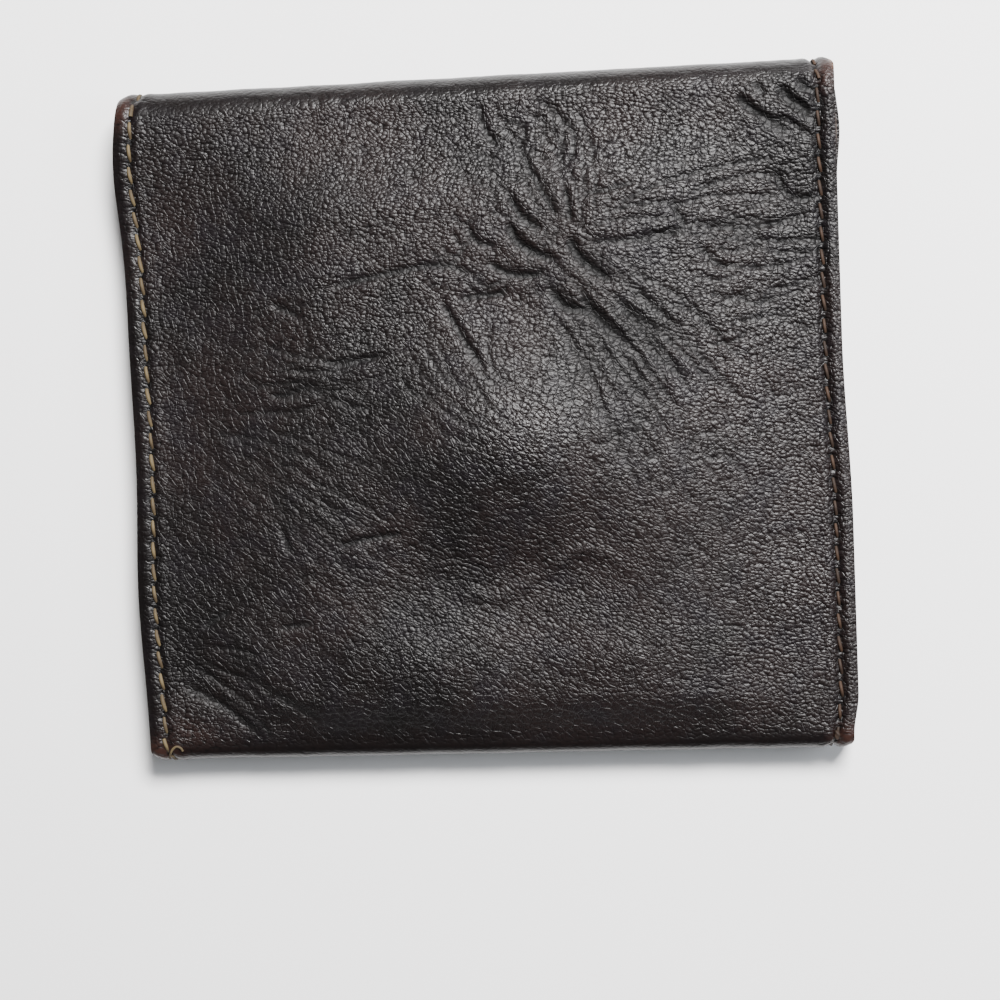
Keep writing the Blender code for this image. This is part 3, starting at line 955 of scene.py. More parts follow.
@dataclass(frozen=True)
class Wear:
    """Where the dye is rubbed away and how the grain is drawn, on the unrolled strip."""

    rubbed: tuple[Swell, ...] = (
        Swell((-41.5, -40.5), (3.5, 2.5), 0.9, -15),
        Swell((-37, -37), (4, 2), 0.35, -25),
        Swell((42, -40.5), (2.6, 3.0), 0.9),
        Swell((-42, 39), (1.6, 3.5), 0.7),
        Swell((41.8, 39), (1.8, 3.5), 0.6),
        Swell((0, -43), (60, 1.2), 0.25),
    )
    raw: tuple[Swell, ...] = (
        Swell((42.5, 40.5), (0.7, 2.4), 0.75),
        Swell((42.6, -40.5), (0.9, 1.8), 0.6),
        Swell((-42.6, -41.0), (1.0, 1.8), 0.5),
    )
    polished: tuple[Swell, ...] = (
        Swell((5, -3), (8, 6), 1.0),                 # over the press stud
        Swell((8, 31), (22, 7), 0.7),
        Swell((31, 8), (14, 26), 0.65),
        Swell((-10, 10), (16, 12), 0.45),
        Swell((-10, -30), (12, 6), 0.5),
        Swell((16, -30), (10, 6), 0.4),
        Swell((37, -22), (7, 8), 0.6),
    )
    slanted: tuple[Swell, ...] = (
        Swell((4, -16), (24, 18), 1.1),
        Swell((-26, -12), (14, 16), 0.7),
    )
    edge_rub: float = 0.22
    edge_reach: float = 0.7 * MM

    def masks(self, x: Grid, y: Grid, from_edge: Grid) -> dict[str, Grid]:
        """All masks on a grid.

        Args:
            x, y: places on the unrolled strip, in metres.
            from_edge: distance to the nearest cut edge, in metres.

        Returns:
            One grid of numbers from 0 to 1 for each mask's name.
        """
        edge = self.edge_rub * (1 - smooth(from_edge / self.edge_reach))
        far = 0.5 * smooth((np.abs(y) - 60 * MM) / (10 * MM))
        # the folds and the left edge get smoother grain and painted shade
        top_fold = smooth((y / MM - 37.0 - 0.02 * x / MM) / 1.8) * smooth((47.5 - y / MM) / 3)
        bottom_fold = smooth((-37.2 - y / MM) / 2.0) * smooth((y / MM + 46) / 2)
        left_edge = 0.85 * smooth((-x / MM - 40.8) / 0.6)
        return {
            WEAR: np.maximum(np.minimum(summed(self.rubbed, x, y), 1), edge),
            RAW: np.minimum(summed(self.raw, x, y), 1),
            SLANT: np.minimum(summed(self.slanted, x, y) + far, 1),
            LEVEL: smooth((x / MM - 16) / 16),
            CALM_AND_SHADE: np.maximum(top_fold, np.maximum(bottom_fold, left_edge)),
            POLISH: np.minimum(summed(self.polished, x, y), 1),
        }


# ---------------------------------------------------------------- thread rows

STEP_ACROSS = 0.001 * MM    # steps over which the strip's slope is measured
STEP_ALONG = 1e-4           # in stations
SIDE_ROW = 10.0 * MM        # a row that stays this far from the middle runs along a side


def unit(vectors: Grid) -> Grid:
    """Vectors made one unit long."""
    return vectors / np.linalg.norm(vectors, axis=-1, keepdims=True)


def along_line(line: Grid) -> Grid:
    """Distance along a line at each of its points."""
    return np.concatenate([[0], np.cumsum(np.linalg.norm(np.diff(line, axis=0), axis=1))])


def resampled(line: Grid, run: Grid, stops: Grid) -> Grid:
    """Points of a line at some distances along it, where run is the distance at its own."""
    return np.stack([np.interp(stops, run, line[:, axis]) for axis in range(3)], axis=1)


@dataclass
class ThreadRow:
    """One row of lockstitch along a line on the strip's outside."""

    body: Body
    across: Grid          # nominal x of the line's points, in metres
    station: Grid         # stations of the same points
    count: int            # number of stitches
    slant: float = 7.0    # degrees that each stitch leans out of the line
    length: float = 2.0 * MM
    thick: float = 0.52 * MM
    sunk: float = 0.14 * MM
    groove: float = 0.10 * MM
    groove_wide: float = 0.55 * MM
    hole_deep: float = 0.32 * MM
    hole_wide: float = 0.40 * MM
    pinch: float = 0.10 * MM             # rise of the leather round each stitch
    pinch_out: float = 1.1 * MM
    pinch_wide: float = 0.7 * MM
    margin: float = 1.5 * MM             # how far from its line it draws the leather in
    sample: float = 0.35 * MM            # spacing of the places its groove is measured from
    line: Grid = field(init=False)       # the row's own line
    points: Grid = field(init=False)     # middles of the stitches
    normals: Grid = field(init=False)    # outward directions there
    heading: Grid = field(init=False)    # directions along the row there

    def lay(self, strip: Strip, relief: Relief) -> "ThreadRow":
        """Work out the places and directions of the stitches.

        Args:
            strip: the strip's run.
            relief: the swells that lift the row.

        Returns:
            The row itself.
        """
        spot = strip.place(self.across, self.station)
        right = strip.place(self.across + STEP_ACROSS, self.station) - spot
        ahead = strip.place(self.across, self.station + STEP_ALONG) - spot
        normal = unit(np.cross(right, ahead))
        swell = relief.broad(self.across, strip.unrolled(self.station))
        self.line = spot + normal * swell[..., None]
        run = along_line(self.line)
        stops = (np.arange(self.count) + 0.5) / self.count * run[-1]
        self.points = resampled(self.line, run, stops)
        self.normals = unit(resampled(normal, run, stops))
        self.heading = unit(np.gradient(self.points, axis=0))
        return self

    def holes(self) -> Grid:
        """Work out the places of the needle holes.

        Returns:
            One place for each end of each stitch.
        """
        turn = math.radians(self.slant)
        aside = np.cross(self.normals, self.heading)
        lean = self.heading * math.cos(turn) + aside * math.sin(turn)
        reach = lean * (self.length / 2)
        return np.concatenate([self.points - reach, self.points + reach])


# ---------------------------------------------------------------- making meshes

SHELL_CREST = 62.0       # degrees past which an edge is shaded sharp, on leather and cloth
TURNED_CREST = 50.0      # and on turned metal
HOLE_STEPS = 32          # corners of a drilled hole
HOLE_REACH = 20.0 * MM   # how far a drill reaches up and down

def add_object(name: str, mesh: bpy.types.Mesh, finish: bpy.types.Material) -> bpy.types.Object:
    """Put a mesh in the scene under a name, wearing a finish.

    Args:
        name: the name of the object and of its mesh.
        mesh: the mesh.
        finish: the material, if the mesh has none.

    Returns:
        The object, at the origin.
    """
    mesh.name = name
    made = bpy.data.objects.new(name, mesh)
    bpy.context.scene.collection.objects.link(made)
    if not mesh.materials:
        mesh.materials.append(finish)
    return made


def shell_mesh(outer: Grid, inner: Grid, ratio: int) -> bpy.types.Mesh:
    """A closed shell between two grids.

    Args:
        outer: the outer grid of rows, columns and XYZ.
        inner: the inner grid, whose cells are ratio times as large.
        ratio: how many outer cells lie over one inner cell each way.

    Returns:
        The mesh, with the outer grid's points first.
    """
    rows, columns = outer.shape[:2]
    low_rows, low_columns = inner.shape[:2]
    top = np.arange(rows * columns).reshape(rows, columns)
    low = rows * columns + np.arange(low_rows * low_columns).reshape(low_rows, low_columns)

    def quads(number: Grid) -> list[list[int]]:
        """Faces between the rows and columns of a grid of point numbers."""
        corners = [number[:-1, :-1], number[:-1, 1:], number[1:, 1:], number[1:, :-1]]
        return np.stack(corners, axis=-1).reshape(-1, 4).tolist()

    def wall(upper: Grid, lower: Grid) -> list[list[int]]:
        """Faces between an edge of the outer grid and the same edge of the inner one."""
        return [[lower[j], lower[j + 1], *upper[j * ratio:(j + 1) * ratio + 1][::-1]]
                for j in range(len(lower) - 1)]

    faces = quads(top) + [face[::-1] for face in quads(low)]
    faces += wall(top[0], low[0]) + wall(top[:, -1], low[:, -1])
    faces += [face[::-1] for face in wall(top[-1], low[-1]) + wall(top[:, 0], low[:, 0])]
    mesh = bpy.data.meshes.new("shell")
    points = np.concatenate([outer.reshape(-1, 3), inner.reshape(-1, 3)])
    mesh.from_pydata(points.tolist(), [], [[int(i) for i in face] for face in faces])
    mesh.shade_smooth()
    mesh.set_sharp_from_angle(angle=math.radians(SHELL_CREST))
    return mesh


def store(mesh: bpy.types.Mesh, name: str, numbers: Grid) -> None:
    """Keep a number on each of a mesh's points; points past the given ones get 0.

    Args:
        mesh: the mesh.
        name: the attribute's name.
        numbers: one number for each of the first points.
    """
    whole = np.zeros(len(mesh.vertices), np.float32)
    whole[:numbers.size] = numbers.ravel()
    mesh.attributes.new(name, "FLOAT", "POINT").data.foreach_set("value", whole)


def lay_flat(mesh: bpy.types.Mesh, places: Grid) -> None:
    """Give a mesh its strip map: the flat place of each point, in metres.

    Args:
        mesh: the mesh.
        places: the flat place of each point.
    """
    layer = mesh.uv_layers.new(name=STRIP_MAP)
    corner = np.zeros(len(mesh.loops), np.int32)
    mesh.loops.foreach_get("vertex_index", corner)
    layer.uv.foreach_set("vector", places[corner].astype(np.float32).ravel())


def drilled(target: bpy.types.Object, at: Vector, radius: float) -> None:
    """Cut a round upright hole through a piece.

    Args:
        target: the piece.
        at: a point on the hole's axis.
        radius: the hole's radius.
    """
    cutter_mesh = bpy.data.meshes.new("hole")
    shape = bmesh.new()
    bmesh.ops.create_cone(shape, cap_ends=True, segments=HOLE_STEPS, radius1=radius,
                          radius2=radius, depth=2 * HOLE_REACH, matrix=Matrix.Translation(at))
    shape.to_mesh(cutter_mesh)
    shape.free()
    cutter = bpy.data.objects.new("hole", cutter_mesh)
    bpy.context.scene.collection.objects.link(cutter)
    cutting = target.modifiers.new("hole", "BOOLEAN")
    cutting.operation = "DIFFERENCE"
    cutting.solver = "EXACT"
    cutting.object = cutter
    settle(target)
    bpy.data.objects.remove(cutter)
    bpy.data.meshes.remove(cutter_mesh)


def settle(piece: bpy.types.Object) -> None:
    """Turn a piece's modifiers into plain mesh.

    Args:
        piece: the piece, which keeps its mesh's name.
    """
    bpy.context.view_layer.update()
    evaluated = piece.evaluated_get(bpy.context.evaluated_depsgraph_get())
    name = piece.data.name
    mesh = bpy.data.meshes.new_from_object(evaluated)
    piece.modifiers.clear()
    piece.data = mesh
    mesh.name = name


@dataclass
class Panel:
    """One shell of leather or cloth along the strip."""

    name: str
    first: float                  # station where it starts
    last: float                   # station where it ends
    pitch: float                  # size of its outer cells
    ratio: int = 1                # inner cells are this many times larger
    depth: float = 0.0            # how far its outer side lies under the strip's outside
    thickness: float = 0.9 * MM
    worn: bool = True             # whether creases are pressed into it
    inset: float = 0.0            # how far its sides stop short of the strip's
    open_ends: tuple[bool, bool] = (False, False)   # which ends are cut edges of the strip
    edge_roll: float = 0.20 * MM
    roll_reach: float = 0.9 * MM  # how far from a cut edge the leather rolls off
    deepest: float = 0.62 * MM    # no crease is deeper
    calm_reach: float = 3.5 * MM  # creases fade this near a cut edge, down to a share
    calm_share: float = 0.35
    below_map: Point = (0.31 * MM, 0.17 * MM)   # shift of the inner side's pattern

    def cells(self, length: float) -> int:
        """Number of outer cells along a length, a whole number of inner ones."""
        return max(1, round(length / self.pitch / self.ratio)) * self.ratio

    def build(self, strip: Strip, relief: Relief, wear: Wear, rows: list[ThreadRow],
              finish: bpy.types.Material) -> bpy.types.Object:
        """Make the shell.

        Args:
            strip: the strip's run.
            relief: what use pressed into it.
            wear: where its dye is rubbed.
            rows: the thread rows that sink into it.
            finish: its material.

        Returns:
            The piece, at the origin.
        """
        start, end = strip.distance(self.first), strip.distance(self.last)
        half = strip.half_width - self.inset
        x = np.linspace(-half, half, self.cells(2 * half) + 1)[None, :]
        distance = np.linspace(start, end, self.cells(end - start) + 1)[:, None]
        station = strip.station(distance)
        flat_y = strip.unrolled(station)
        base = strip.place(x, station)
        normal = facing(base)
        broad = relief.broad(x, flat_y)[..., None]
        from_edge = half - np.abs(x) + 0 * distance
        if self.open_ends[0]:
            from_edge = np.minimum(from_edge, distance - start)
        if self.open_ends[1]:
            from_edge = np.minimum(from_edge, end - distance)
        outer = base + normal * (broad - self.depth)
        inner = outer - normal * self.thickness
        marks: dict[str, Grid] = {}
        if self.worn:
            pressed, crease = relief.pressed(x, flat_y)
            calm = smooth(from_edge / self.calm_reach) * (1 - self.calm_share) + self.calm_share
            held = self.deepest * np.tanh(pressed / self.deepest)
            pressed = np.where(pressed < 0, held, pressed) * calm
            roll = self.edge_roll * (1 - smooth(from_edge / self.roll_reach)) ** 2
            outer = outer + normal * (pressed - roll)[..., None]
            outer, holes = self.sewn(outer, normal, rows)
            # the crease mark and the needle holes' mask also carry painted shade into the colour
            marks = {CREASE: crease * calm, PAINTED_SHADE: holes, **wear.masks(x, flat_y, from_edge)}
        mesh = shell_mesh(outer, inner[::self.ratio, ::self.ratio], self.ratio)
        flat = np.stack(np.broadcast_arrays(x, distance), axis=-1)
        below = flat[::self.ratio, ::self.ratio] + self.below_map
        lay_flat(mesh, np.concatenate([flat.reshape(-1, 2), below.reshape(-1, 2)]))
        for mark, numbers in marks.items():
            store(mesh, mark, numbers)
        return add_object(self.name, mesh, finish)

    def sewn(self, outer: Grid, normal: Grid, rows: list[ThreadRow]) -> tuple[Grid, Grid]:
        """Sink the thread rows' grooves and needle holes into a grid.

        Args:
            outer: the grid's points.
            normal: its outward directions.
            rows: the thread rows.

        Returns:
            The sunk grid, and a mask of the needle holes, where shade is painted.
        """
        outer = outer.copy()
        shade = np.zeros(outer.shape[:2])
        for row in rows:
            low, high = row.line.min(axis=0) - row.margin, row.line.max(axis=0) + row.margin
            near = ((outer > low) & (outer < high)).all(axis=-1)
            inmost = abs(row.line[:, 0]).min()
            if inmost > SIDE_ROW:
                near &= np.abs(outer[..., 0]) > inmost - row.margin
            if not near.any():
                continue
            spots = outer[near]
            run = along_line(row.line)
            line = resampled(row.line, run, np.arange(0, run[-1], row.sample))
            from_line = nearest(spots, line)
            from_hole = nearest(spots, row.holes())
            from_ring = nearest(spots, row.points) - row.pinch_out
            groove = row.groove * np.exp(-(from_line / row.groove_wide) ** 2)
            hole = np.exp(-(from_hole / row.hole_wide) ** 2)
            pinch = row.pinch * np.exp(-(from_ring / row.pinch_wide) ** 2)
            outer[near] += normal[near] * (pinch - groove - row.hole_deep * hole)[:, None]
            # painted shade in the needle holes
            shade[near] = np.maximum(shade[near], 1.1 * hole)
        return outer, np.minimum(shade, 1)


def nearest(spots: Grid, places: Grid) -> Grid:
    """Distance from each spot to the nearest of some places.

    Args:
        spots: the spots.
        places: the places.

    Returns:
        One distance for each spot.
    """
    best = np.full(len(spots), np.inf)
    for place in places:
        best = np.minimum(best, ((spots - place) ** 2).sum(axis=1))
    return np.sqrt(best)


def dress(piece: bpy.types.Object) -> None:
    """Report a piece and its number of faces."""
    LOG.info("%s: %d faces", piece.name, len(piece.data.polygons))


# ---------------------------------------------------------------- sub-assemblies

def add_input(tree: bpy.types.GeometryNodeTree, name: str, kind: str) -> str:
    """Add a named input to a geometry tree and return its identifier."""
    return tree.interface.new_socket(name, in_out="INPUT", socket_type=kind).identifier


@dataclass
class Stitching:
    """Every row of thread, its stitches made by one geometry tree."""

    strip: Strip
    relief: Relief
    pitch: float = 2.68 * MM
    seed: int = 7
    uneven: float = 3.0          # degrees by which stitches differ in lean
    long_count: int = 400        # points on the line of a side row
    short_count: int = 60        # and of a shorter row
    corner_count: int = 30       # points round one corner of the flap
    end_count: int = 40          # and from there to the middle of its end
    mouth_inset: float = 2.6 * MM
    side_span: Point = (0.02, 2.999)     # stations of the side rows' ends
    fold_span: Point = (3.01, 3.99)      # and of their runs over the top fold
    arc_steps: int = 8           # steps along one stitch
    ring_steps: int = 7          # steps round the thread
    smallest: float = 0.93       # sizes between which stitches differ
    largest: float = 1.06
    looks: dict[str, dict[str, float]] = field(default_factory=lambda: {
        "left": {"groove": 0.14 * MM, "slant": 9.0},
        "right": {"groove": 0.42 * MM, "slant": 8.0, "sunk": 0.26 * MM, "thick": 0.40 * MM,
                  "length": 1.6 * MM},
    })

    def __post_init__(self) -> None:
        """Lay the rows of the purse, the top fold and the flap."""
        side = self.strip.half_width - self.strip.seam_inset
        self.rows: dict[str, ThreadRow] = {}
        for name, sign in (("left", -1), ("right", 1)):
            look = self.looks[name]
            self.add(f"side_thread_{name}", Body.PURSE, sign * side, self.side_span, look)
            self.add(f"fold_thread_{name}", Body.TOP_FOLD, sign * side, self.fold_span, look)
        mouth = self.strip.seam_inset / (self.strip.mouth_y - self.strip.bottom_y)
        reach = side - self.mouth_inset
        across = np.linspace(-reach, reach, self.short_count)
        self.row("mouth_thread", Body.PURSE, across, np.full(self.short_count, mouth), {})
        self.row("flap_thread", Body.FLAP, *self.rim(side), {})

    def add(self, name: str, body: Body, x: float, span: tuple[float, float],
            look: dict[str, float]) -> None:
        """Lay a row straight along the strip.

        Args:
            name: the CAD thread's node.
            body: the body it is sewn to.
            x: its place across.
            span: stations of its ends.
            look: sizes that differ from a plain row's.
        """
        ends = self.strip.distance(np.array(span))
        distance = np.linspace(ends[0], ends[1], self.long_count)
        self.row(name, body, np.full(self.long_count, x), self.strip.station(distance), look)

    def row(self, name: str, body: Body, x: Grid, station: Grid, look: dict[str, float]) -> None:
        """Lay one row, with as many stitches as its length takes.

        Args:
            name: the CAD thread's node.
            body: the body it is sewn to.
            x: places across.
            station: stations of the same points.
            look: sizes that differ from a plain row's.
        """
        line = self.strip.place(x, station)
        length = along_line(line)[-1]
        row = ThreadRow(body, x, station, max(1, round(length / self.pitch)), **look)
        self.rows[name] = row.lay(self.strip, self.relief)

    def rim(self, side: float) -> tuple[Grid, Grid]:
        """Nominal x and station of the line round the flap, inside its free edge.

        Args:
            side: how far the side rows lie from the middle.

        Returns:
            The places across, and their stations.
        """
        strip = self.strip
        radius = strip.flap_corner - strip.seam_inset
        centre_x = strip.half_width - strip.flap_corner
        centre_y = strip.flap_end + strip.flap_corner
        down, across = self.short_count, self.end_count
        turn = np.linspace(0, math.pi / 2, self.corner_count)
        x = np.concatenate([np.full(down, side), centre_x + radius * np.cos(turn),
                            np.linspace(centre_x, 0, across)[1:]])
        y = np.concatenate([np.linspace(strip.hinge_y - 0.5 * MM, centre_y, down),
                            centre_y - radius * np.sin(turn),
                            np.full(across - 1, centre_y - radius)])
        x, y = np.concatenate([x, -x[-2::-1]]), np.concatenate([y, y[-2::-1]])
        into = np.clip(centre_y - y, 0, strip.flap_corner)
        half = centre_x + np.sqrt(strip.flap_corner ** 2 - into ** 2)
        station = 4 + (strip.hinge_y - y) / (strip.hinge_y - strip.flap_end)
        return x * strip.half_width / half, station

    def tree(self, finish: bpy.types.Material) -> tuple[bpy.types.GeometryNodeTree, dict[str, str]]:
        """Build the tree that lays an arched dash of thread on every point.

        Args:
            finish: the thread's material.

        Returns:
            The tree, and the identifiers of its inputs by name.
        """
        tree = bpy.data.node_groups.new("stitch_row", "GeometryNodeTree")
        add_input(tree, "Stitch Places", "NodeSocketGeometry")
        tree.interface.new_socket("Geometry", in_out="OUTPUT", socket_type="NodeSocketGeometry")
        known = {name: add_input(tree, name, kind) for name, kind in (
            ("Stitch Length", "NodeSocketFloat"), ("Thread Thickness", "NodeSocketFloat"),
            ("Lean", "NodeSocketFloat"), ("Unevenness", "NodeSocketFloat"),
            ("Seed", "NodeSocketInt"))}

        def node(kind: str, settings: dict[str, object], sockets: dict[object, object]
                 ) -> bpy.types.Node:
            """Add any node.

            Args:
                kind: the node's type name.
                settings: its properties, set before its sockets.
                sockets: values or links by socket name or number.

            Returns:
                The node.
            """
            made = tree.nodes.new(kind)
            for name, setting in settings.items():
                setattr(made, name, setting)
            for name, value in sockets.items():
                if isinstance(value, bpy.types.NodeSocket):
                    tree.links.new(value, made.inputs[name])
                else:
                    made.inputs[name].default_value = value
            return made

        def product(first: object, second: object) -> bpy.types.NodeSocket:
            """Two values multiplied."""
            return node("ShaderNodeMath", {"operation": "MULTIPLY"}, {0: first, 1: second}).outputs[0]

        def spot(x: object, z: object) -> bpy.types.NodeSocket:
            """A place in the stitch's own upright plane."""
            return node("ShaderNodeCombineXYZ", {}, {"X": x, "Z": z}).outputs[0]

        def stored(name: str) -> bpy.types.NodeSocket:
            """A direction kept on the stitch's place."""
            return node("GeometryNodeInputNamedAttribute", {"data_type": "FLOAT_VECTOR"},
                        {"Name": name}).outputs["Attribute"]

        def scatter(low: object, high: object, seed: object) -> bpy.types.NodeSocket:
            """A random number between two bounds for each stitch."""
            sockets = {2: low, 3: high, "Seed": seed}
            return node("FunctionNodeRandomValue", {"data_type": "FLOAT"}, sockets).outputs[1]

        sizes = node("NodeGroupInput", {}, {})
        length, thick = sizes.outputs["Stitch Length"], sizes.outputs["Thread Thickness"]
        arc = node("GeometryNodeCurveQuadraticBezier", {}, {
            "Resolution": self.arc_steps, "Start": spot(product(length, -0.5), product(thick, -0.75)),
            "Middle": spot(0.0, product(thick, 0.85)),
            "End": spot(product(length, 0.5), product(thick, -0.75))})
        ring = node("GeometryNodeCurvePrimitiveCircle", {"mode": "RADIUS"},
                    {"Resolution": self.ring_steps, "Radius": product(thick, 0.5)})
        dash = node("GeometryNodeCurveToMesh", {}, {
            "Curve": arc.outputs["Curve"], "Profile Curve": ring.outputs["Curve"],
            "Fill Caps": True})
        along = node("FunctionNodeAlignRotationToVector", {"axis": "X"},
                     {"Vector": stored("heading")})
        upright = node("FunctionNodeAlignRotationToVector", {"axis": "Z", "pivot_axis": "X"}, {
            "Rotation": along.outputs[0], "Vector": stored("outward")})
        spread = scatter(product(sizes.outputs["Unevenness"], -1.0),
                         sizes.outputs["Unevenness"], sizes.outputs["Seed"])
        lean = node("ShaderNodeMath", {"operation": "ADD"}, {0: sizes.outputs["Lean"], 1: spread})
        turn = node("FunctionNodeAxisAngleToRotation", {},
                    {"Axis": (0, 0, 1), "Angle": lean.outputs[0]})
        leaning = node("FunctionNodeRotateRotation", {"rotation_space": "LOCAL"}, {
            "Rotation": upright.outputs[0], "Rotate By": turn.outputs[0]})
        size = scatter(self.smallest, self.largest, sizes.outputs["Seed"])
        laid = node("GeometryNodeInstanceOnPoints", {}, {
            "Points": sizes.outputs["Stitch Places"], "Instance": dash.outputs[0],
            "Rotation": leaning.outputs[0], "Scale": size})
        real = node("GeometryNodeRealizeInstances", {}, {"Geometry": laid.outputs[0]})
        soft = node("GeometryNodeSetShadeSmooth", {}, {"Geometry": real.outputs[0]})
        dressed = node("GeometryNodeSetMaterial", {},
                       {"Geometry": soft.outputs[0], "Material": finish})
        node("NodeGroupOutput", {}, {"Geometry": dressed.outputs[0]})
        return tree, known

    def build(self, name: str, finish: bpy.types.Material) -> None:
        """Make one row's stitches as a plain mesh that stands for the CAD thread.

        Args:
            name: the CAD thread's node.
            finish: the thread's material.
        """
        row = self.rows[name]
        path = bpy.data.meshes.new(name + "_places")
        path.from_pydata((row.points - row.normals * row.sunk).tolist(), [], [])
        for mark, vectors in (("heading", row.heading), ("outward", row.normals)):
            stored = path.attributes.new(mark, "FLOAT_VECTOR", "POINT")
            stored.data.foreach_set("vector", vectors.astype(np.float32).ravel())
        made = add_object(name + "_stitches", path, finish)
        tree, known = self.tree(finish)
        laying = made.modifiers.new("stitches", "NODES")
        laying.node_group = tree
        laying[known["Stitch Length"]] = row.length
        laying[known["Thread Thickness"]] = row.thick
        laying[known["Lean"]] = math.radians(row.slant)
        laying[known["Unevenness"]] = math.radians(self.uneven)
        laying[known["Seed"]] = self.seed
        settle(made)
        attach(made, row.body.value)
        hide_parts(name)
        dress(made)


@dataclass
class PressStud:
    """The five pieces of the press stud, turned about its upright axis."""

    strip: Strip
    steps: int = 64
    cap_height: float = 0.85 * MM
    cap_rim: float = 0.3 * MM
    post: float = 1.7 * MM
    flare: float = 0.6 * MM
    plate: float = 0.3 * MM
    socket: float = 5.0 * MM
    socket_height: float = 2.0 * MM
    socket_wall: float = 0.8 * MM
    stud: float = 2.7 * MM
    stud_neck: float = 0.35 * MM
    play: float = 0.4 * MM
    flange: float = 4.5 * MM
    flange_plate: float = 0.4 * MM
    shank: float = 1.2 * MM
    eyelet: float = 3.5 * MM
    wire: float = 0.15 * MM
    spring_opening: float = 50.0
    table_gap: float = 0.05 * MM
    corner: float = 0.10 * MM     # rounding of the pressed corners
    dome_steps: int = 12
    spring_steps: int = 72

    def __post_init__(self) -> None:
        """Stack the heights of the pieces from the table."""
        gap, strip = self.strip.gap, self.strip
        self.gap = gap
        self.cap_rim_z = self.table_gap + self.cap_height
        self.socket_z = strip.flap_dish + strip.layers + gap
        self.flange_z = self.socket_z + self.socket_height + gap
        self.eyelet_z = strip.front_z + strip.front_dish + strip.layers + gap

    def rounded(self, profile: list[Point], closed: bool) -> list[Point]:
        """Cut each corner of a profile to three points on a small arc.

        Args:
            profile: radius and height of each corner.
            closed: whether the profile is a loop.

        Returns:
            The rounded profile.
        """
        count = len(profile)
        made: list[Point] = []
        for i, spot in enumerate(profile):
            if (not closed and i in (0, count - 1)) or spot[0] == 0:
                made.append(spot)
                continue
            here = np.array(spot)
            back = np.array(profile[i - 1]) - here
            ahead = np.array(profile[(i + 1) % count]) - here
            cut = min(self.corner, 0.4 * np.hypot(*back), 0.4 * np.hypot(*ahead))
            first = here + back / np.hypot(*back) * cut
            last = here + ahead / np.hypot(*ahead) * cut
            middle = 0.25 * first + 0.5 * here + 0.25 * last
            made += [tuple(first), tuple(middle), tuple(last)]
        return made

    def turned(self, name: str, profile: list[Point], z: float, finish: bpy.types.Material,
               closed: bool = False) -> bpy.types.Object:
        """Turn a profile of radius and height into a closed solid.

        Args:
            name: the CAD node that the piece stands for.
            profile: radius and height of each corner.
            z: height of the profile's 0.
            finish: the piece's material.
            closed: whether the profile is a loop that stays off the axis.

        Returns:
            The piece, at the origin.
        """
        profile = self.rounded(profile, closed)
        shape = bmesh.new()
        rings = []
        for radius, height in profile:
            turns = [2 * math.pi * i / self.steps for i in range(self.steps if radius else 1)]
            rings.append([shape.verts.new((radius * math.cos(turn),
                                           self.strip.snap_y + radius * math.sin(turn),
                                           z + height)) for turn in turns])
        pairs = list(zip(rings, rings[1:])) + ([(rings[-1], rings[0])] if closed else [])
        for first, second in pairs:
            for i in range(self.steps):
                j = (i + 1) % self.steps
                corners = [first[i % len(first)], first[j % len(first)],
                           second[j % len(second)], second[i % len(second)]]
                shape.faces.new(list(dict.fromkeys(corners)))
        bmesh.ops.recalc_face_normals(shape, faces=shape.faces)
        mesh = bpy.data.meshes.new(name)
        shape.to_mesh(mesh)
        shape.free()
        mesh.shade_smooth()
        mesh.set_sharp_from_angle(angle=math.radians(TURNED_CREST))
        return add_object(name + "_turned", mesh, finish)

    def profiles(self) -> dict[str, tuple[list[Point], float, bool]]:
        """Profile, height and closure of each turned piece.

        Returns:
            For each CAD node: the profile, the height of its 0, and whether it is a loop.
        """
        plate, gap = self.plate, self.gap
        top = self.socket_z + plate + gap + plate
        flare = self.post + self.flare
        dome = [(self.strip.cap_radius * math.cos(turn),
                 self.cap_rim_z - self.cap_rim - (self.cap_height - self.cap_rim) * math.sin(turn))
                for turn in np.linspace(0, math.pi / 2, self.dome_steps)]
        cap = [(0, top), (flare, top), (flare, top - plate), (self.post, top - plate),
               (self.post, self.cap_rim_z), (self.strip.cap_radius - self.cap_rim, self.cap_rim_z)]
        cap += dome[:-1] + [(0, self.table_gap)]
        hole, lip, inner = self.post + gap, self.stud + self.play, self.socket - self.socket_wall
        high = self.socket_height
        socket = [(lip, high), (self.socket - plate, high), (self.socket, high - plate),
                  (self.socket, 0), (hole, 0), (hole, plate), (inner, plate),
                  (inner, high - plate), (lip, high - plate)]
        low = self.socket_z + 2 * plate + 2 * gap - self.flange_z
        bore, neck = self.shank + gap, self.stud - self.stud_neck
        stud = [(0, low + plate), (bore, low + plate), (bore, self.flange_plate),
                (self.flange, self.flange_plate), (self.flange, 0), (neck, 0), (neck, low / 3),
                (self.stud, low / 2), (self.stud, low + plate), (self.stud - plate, low), (0, low)]
        end = self.socket_z + 3 * plate + 3 * gap - self.eyelet_z
        eyelet = [(0, plate), (self.eyelet - plate, plate), (self.eyelet, 0), (self.shank, 0),
                  (self.shank, end), (0, end)]
        return {"snap_cap": (cap, 0.0, False), "snap_socket": (socket, self.socket_z, True),
                "snap_stud": (stud, self.flange_z, False),
                "stud_eyelet": (eyelet, self.eyelet_z, False)}

    def spring(self, finish: bpy.types.Material) -> bpy.types.Object:
        """The split ring of wire under the socket's lip.

        Args:
            finish: the wire's material.

        Returns:
            The ring.
        """
        radius = self.stud + self.gap + self.wire
        z = self.socket_z + self.socket_height - self.plate - self.gap - self.wire
        half = math.radians(360 - self.spring_opening) / 2
        ring = [(radius * math.sin(turn), self.strip.snap_y + radius * math.cos(turn), z)
                for turn in np.linspace(-half, half, self.spring_steps)]
        return wire("snap_spring_wire", ring, self.wire, finish)

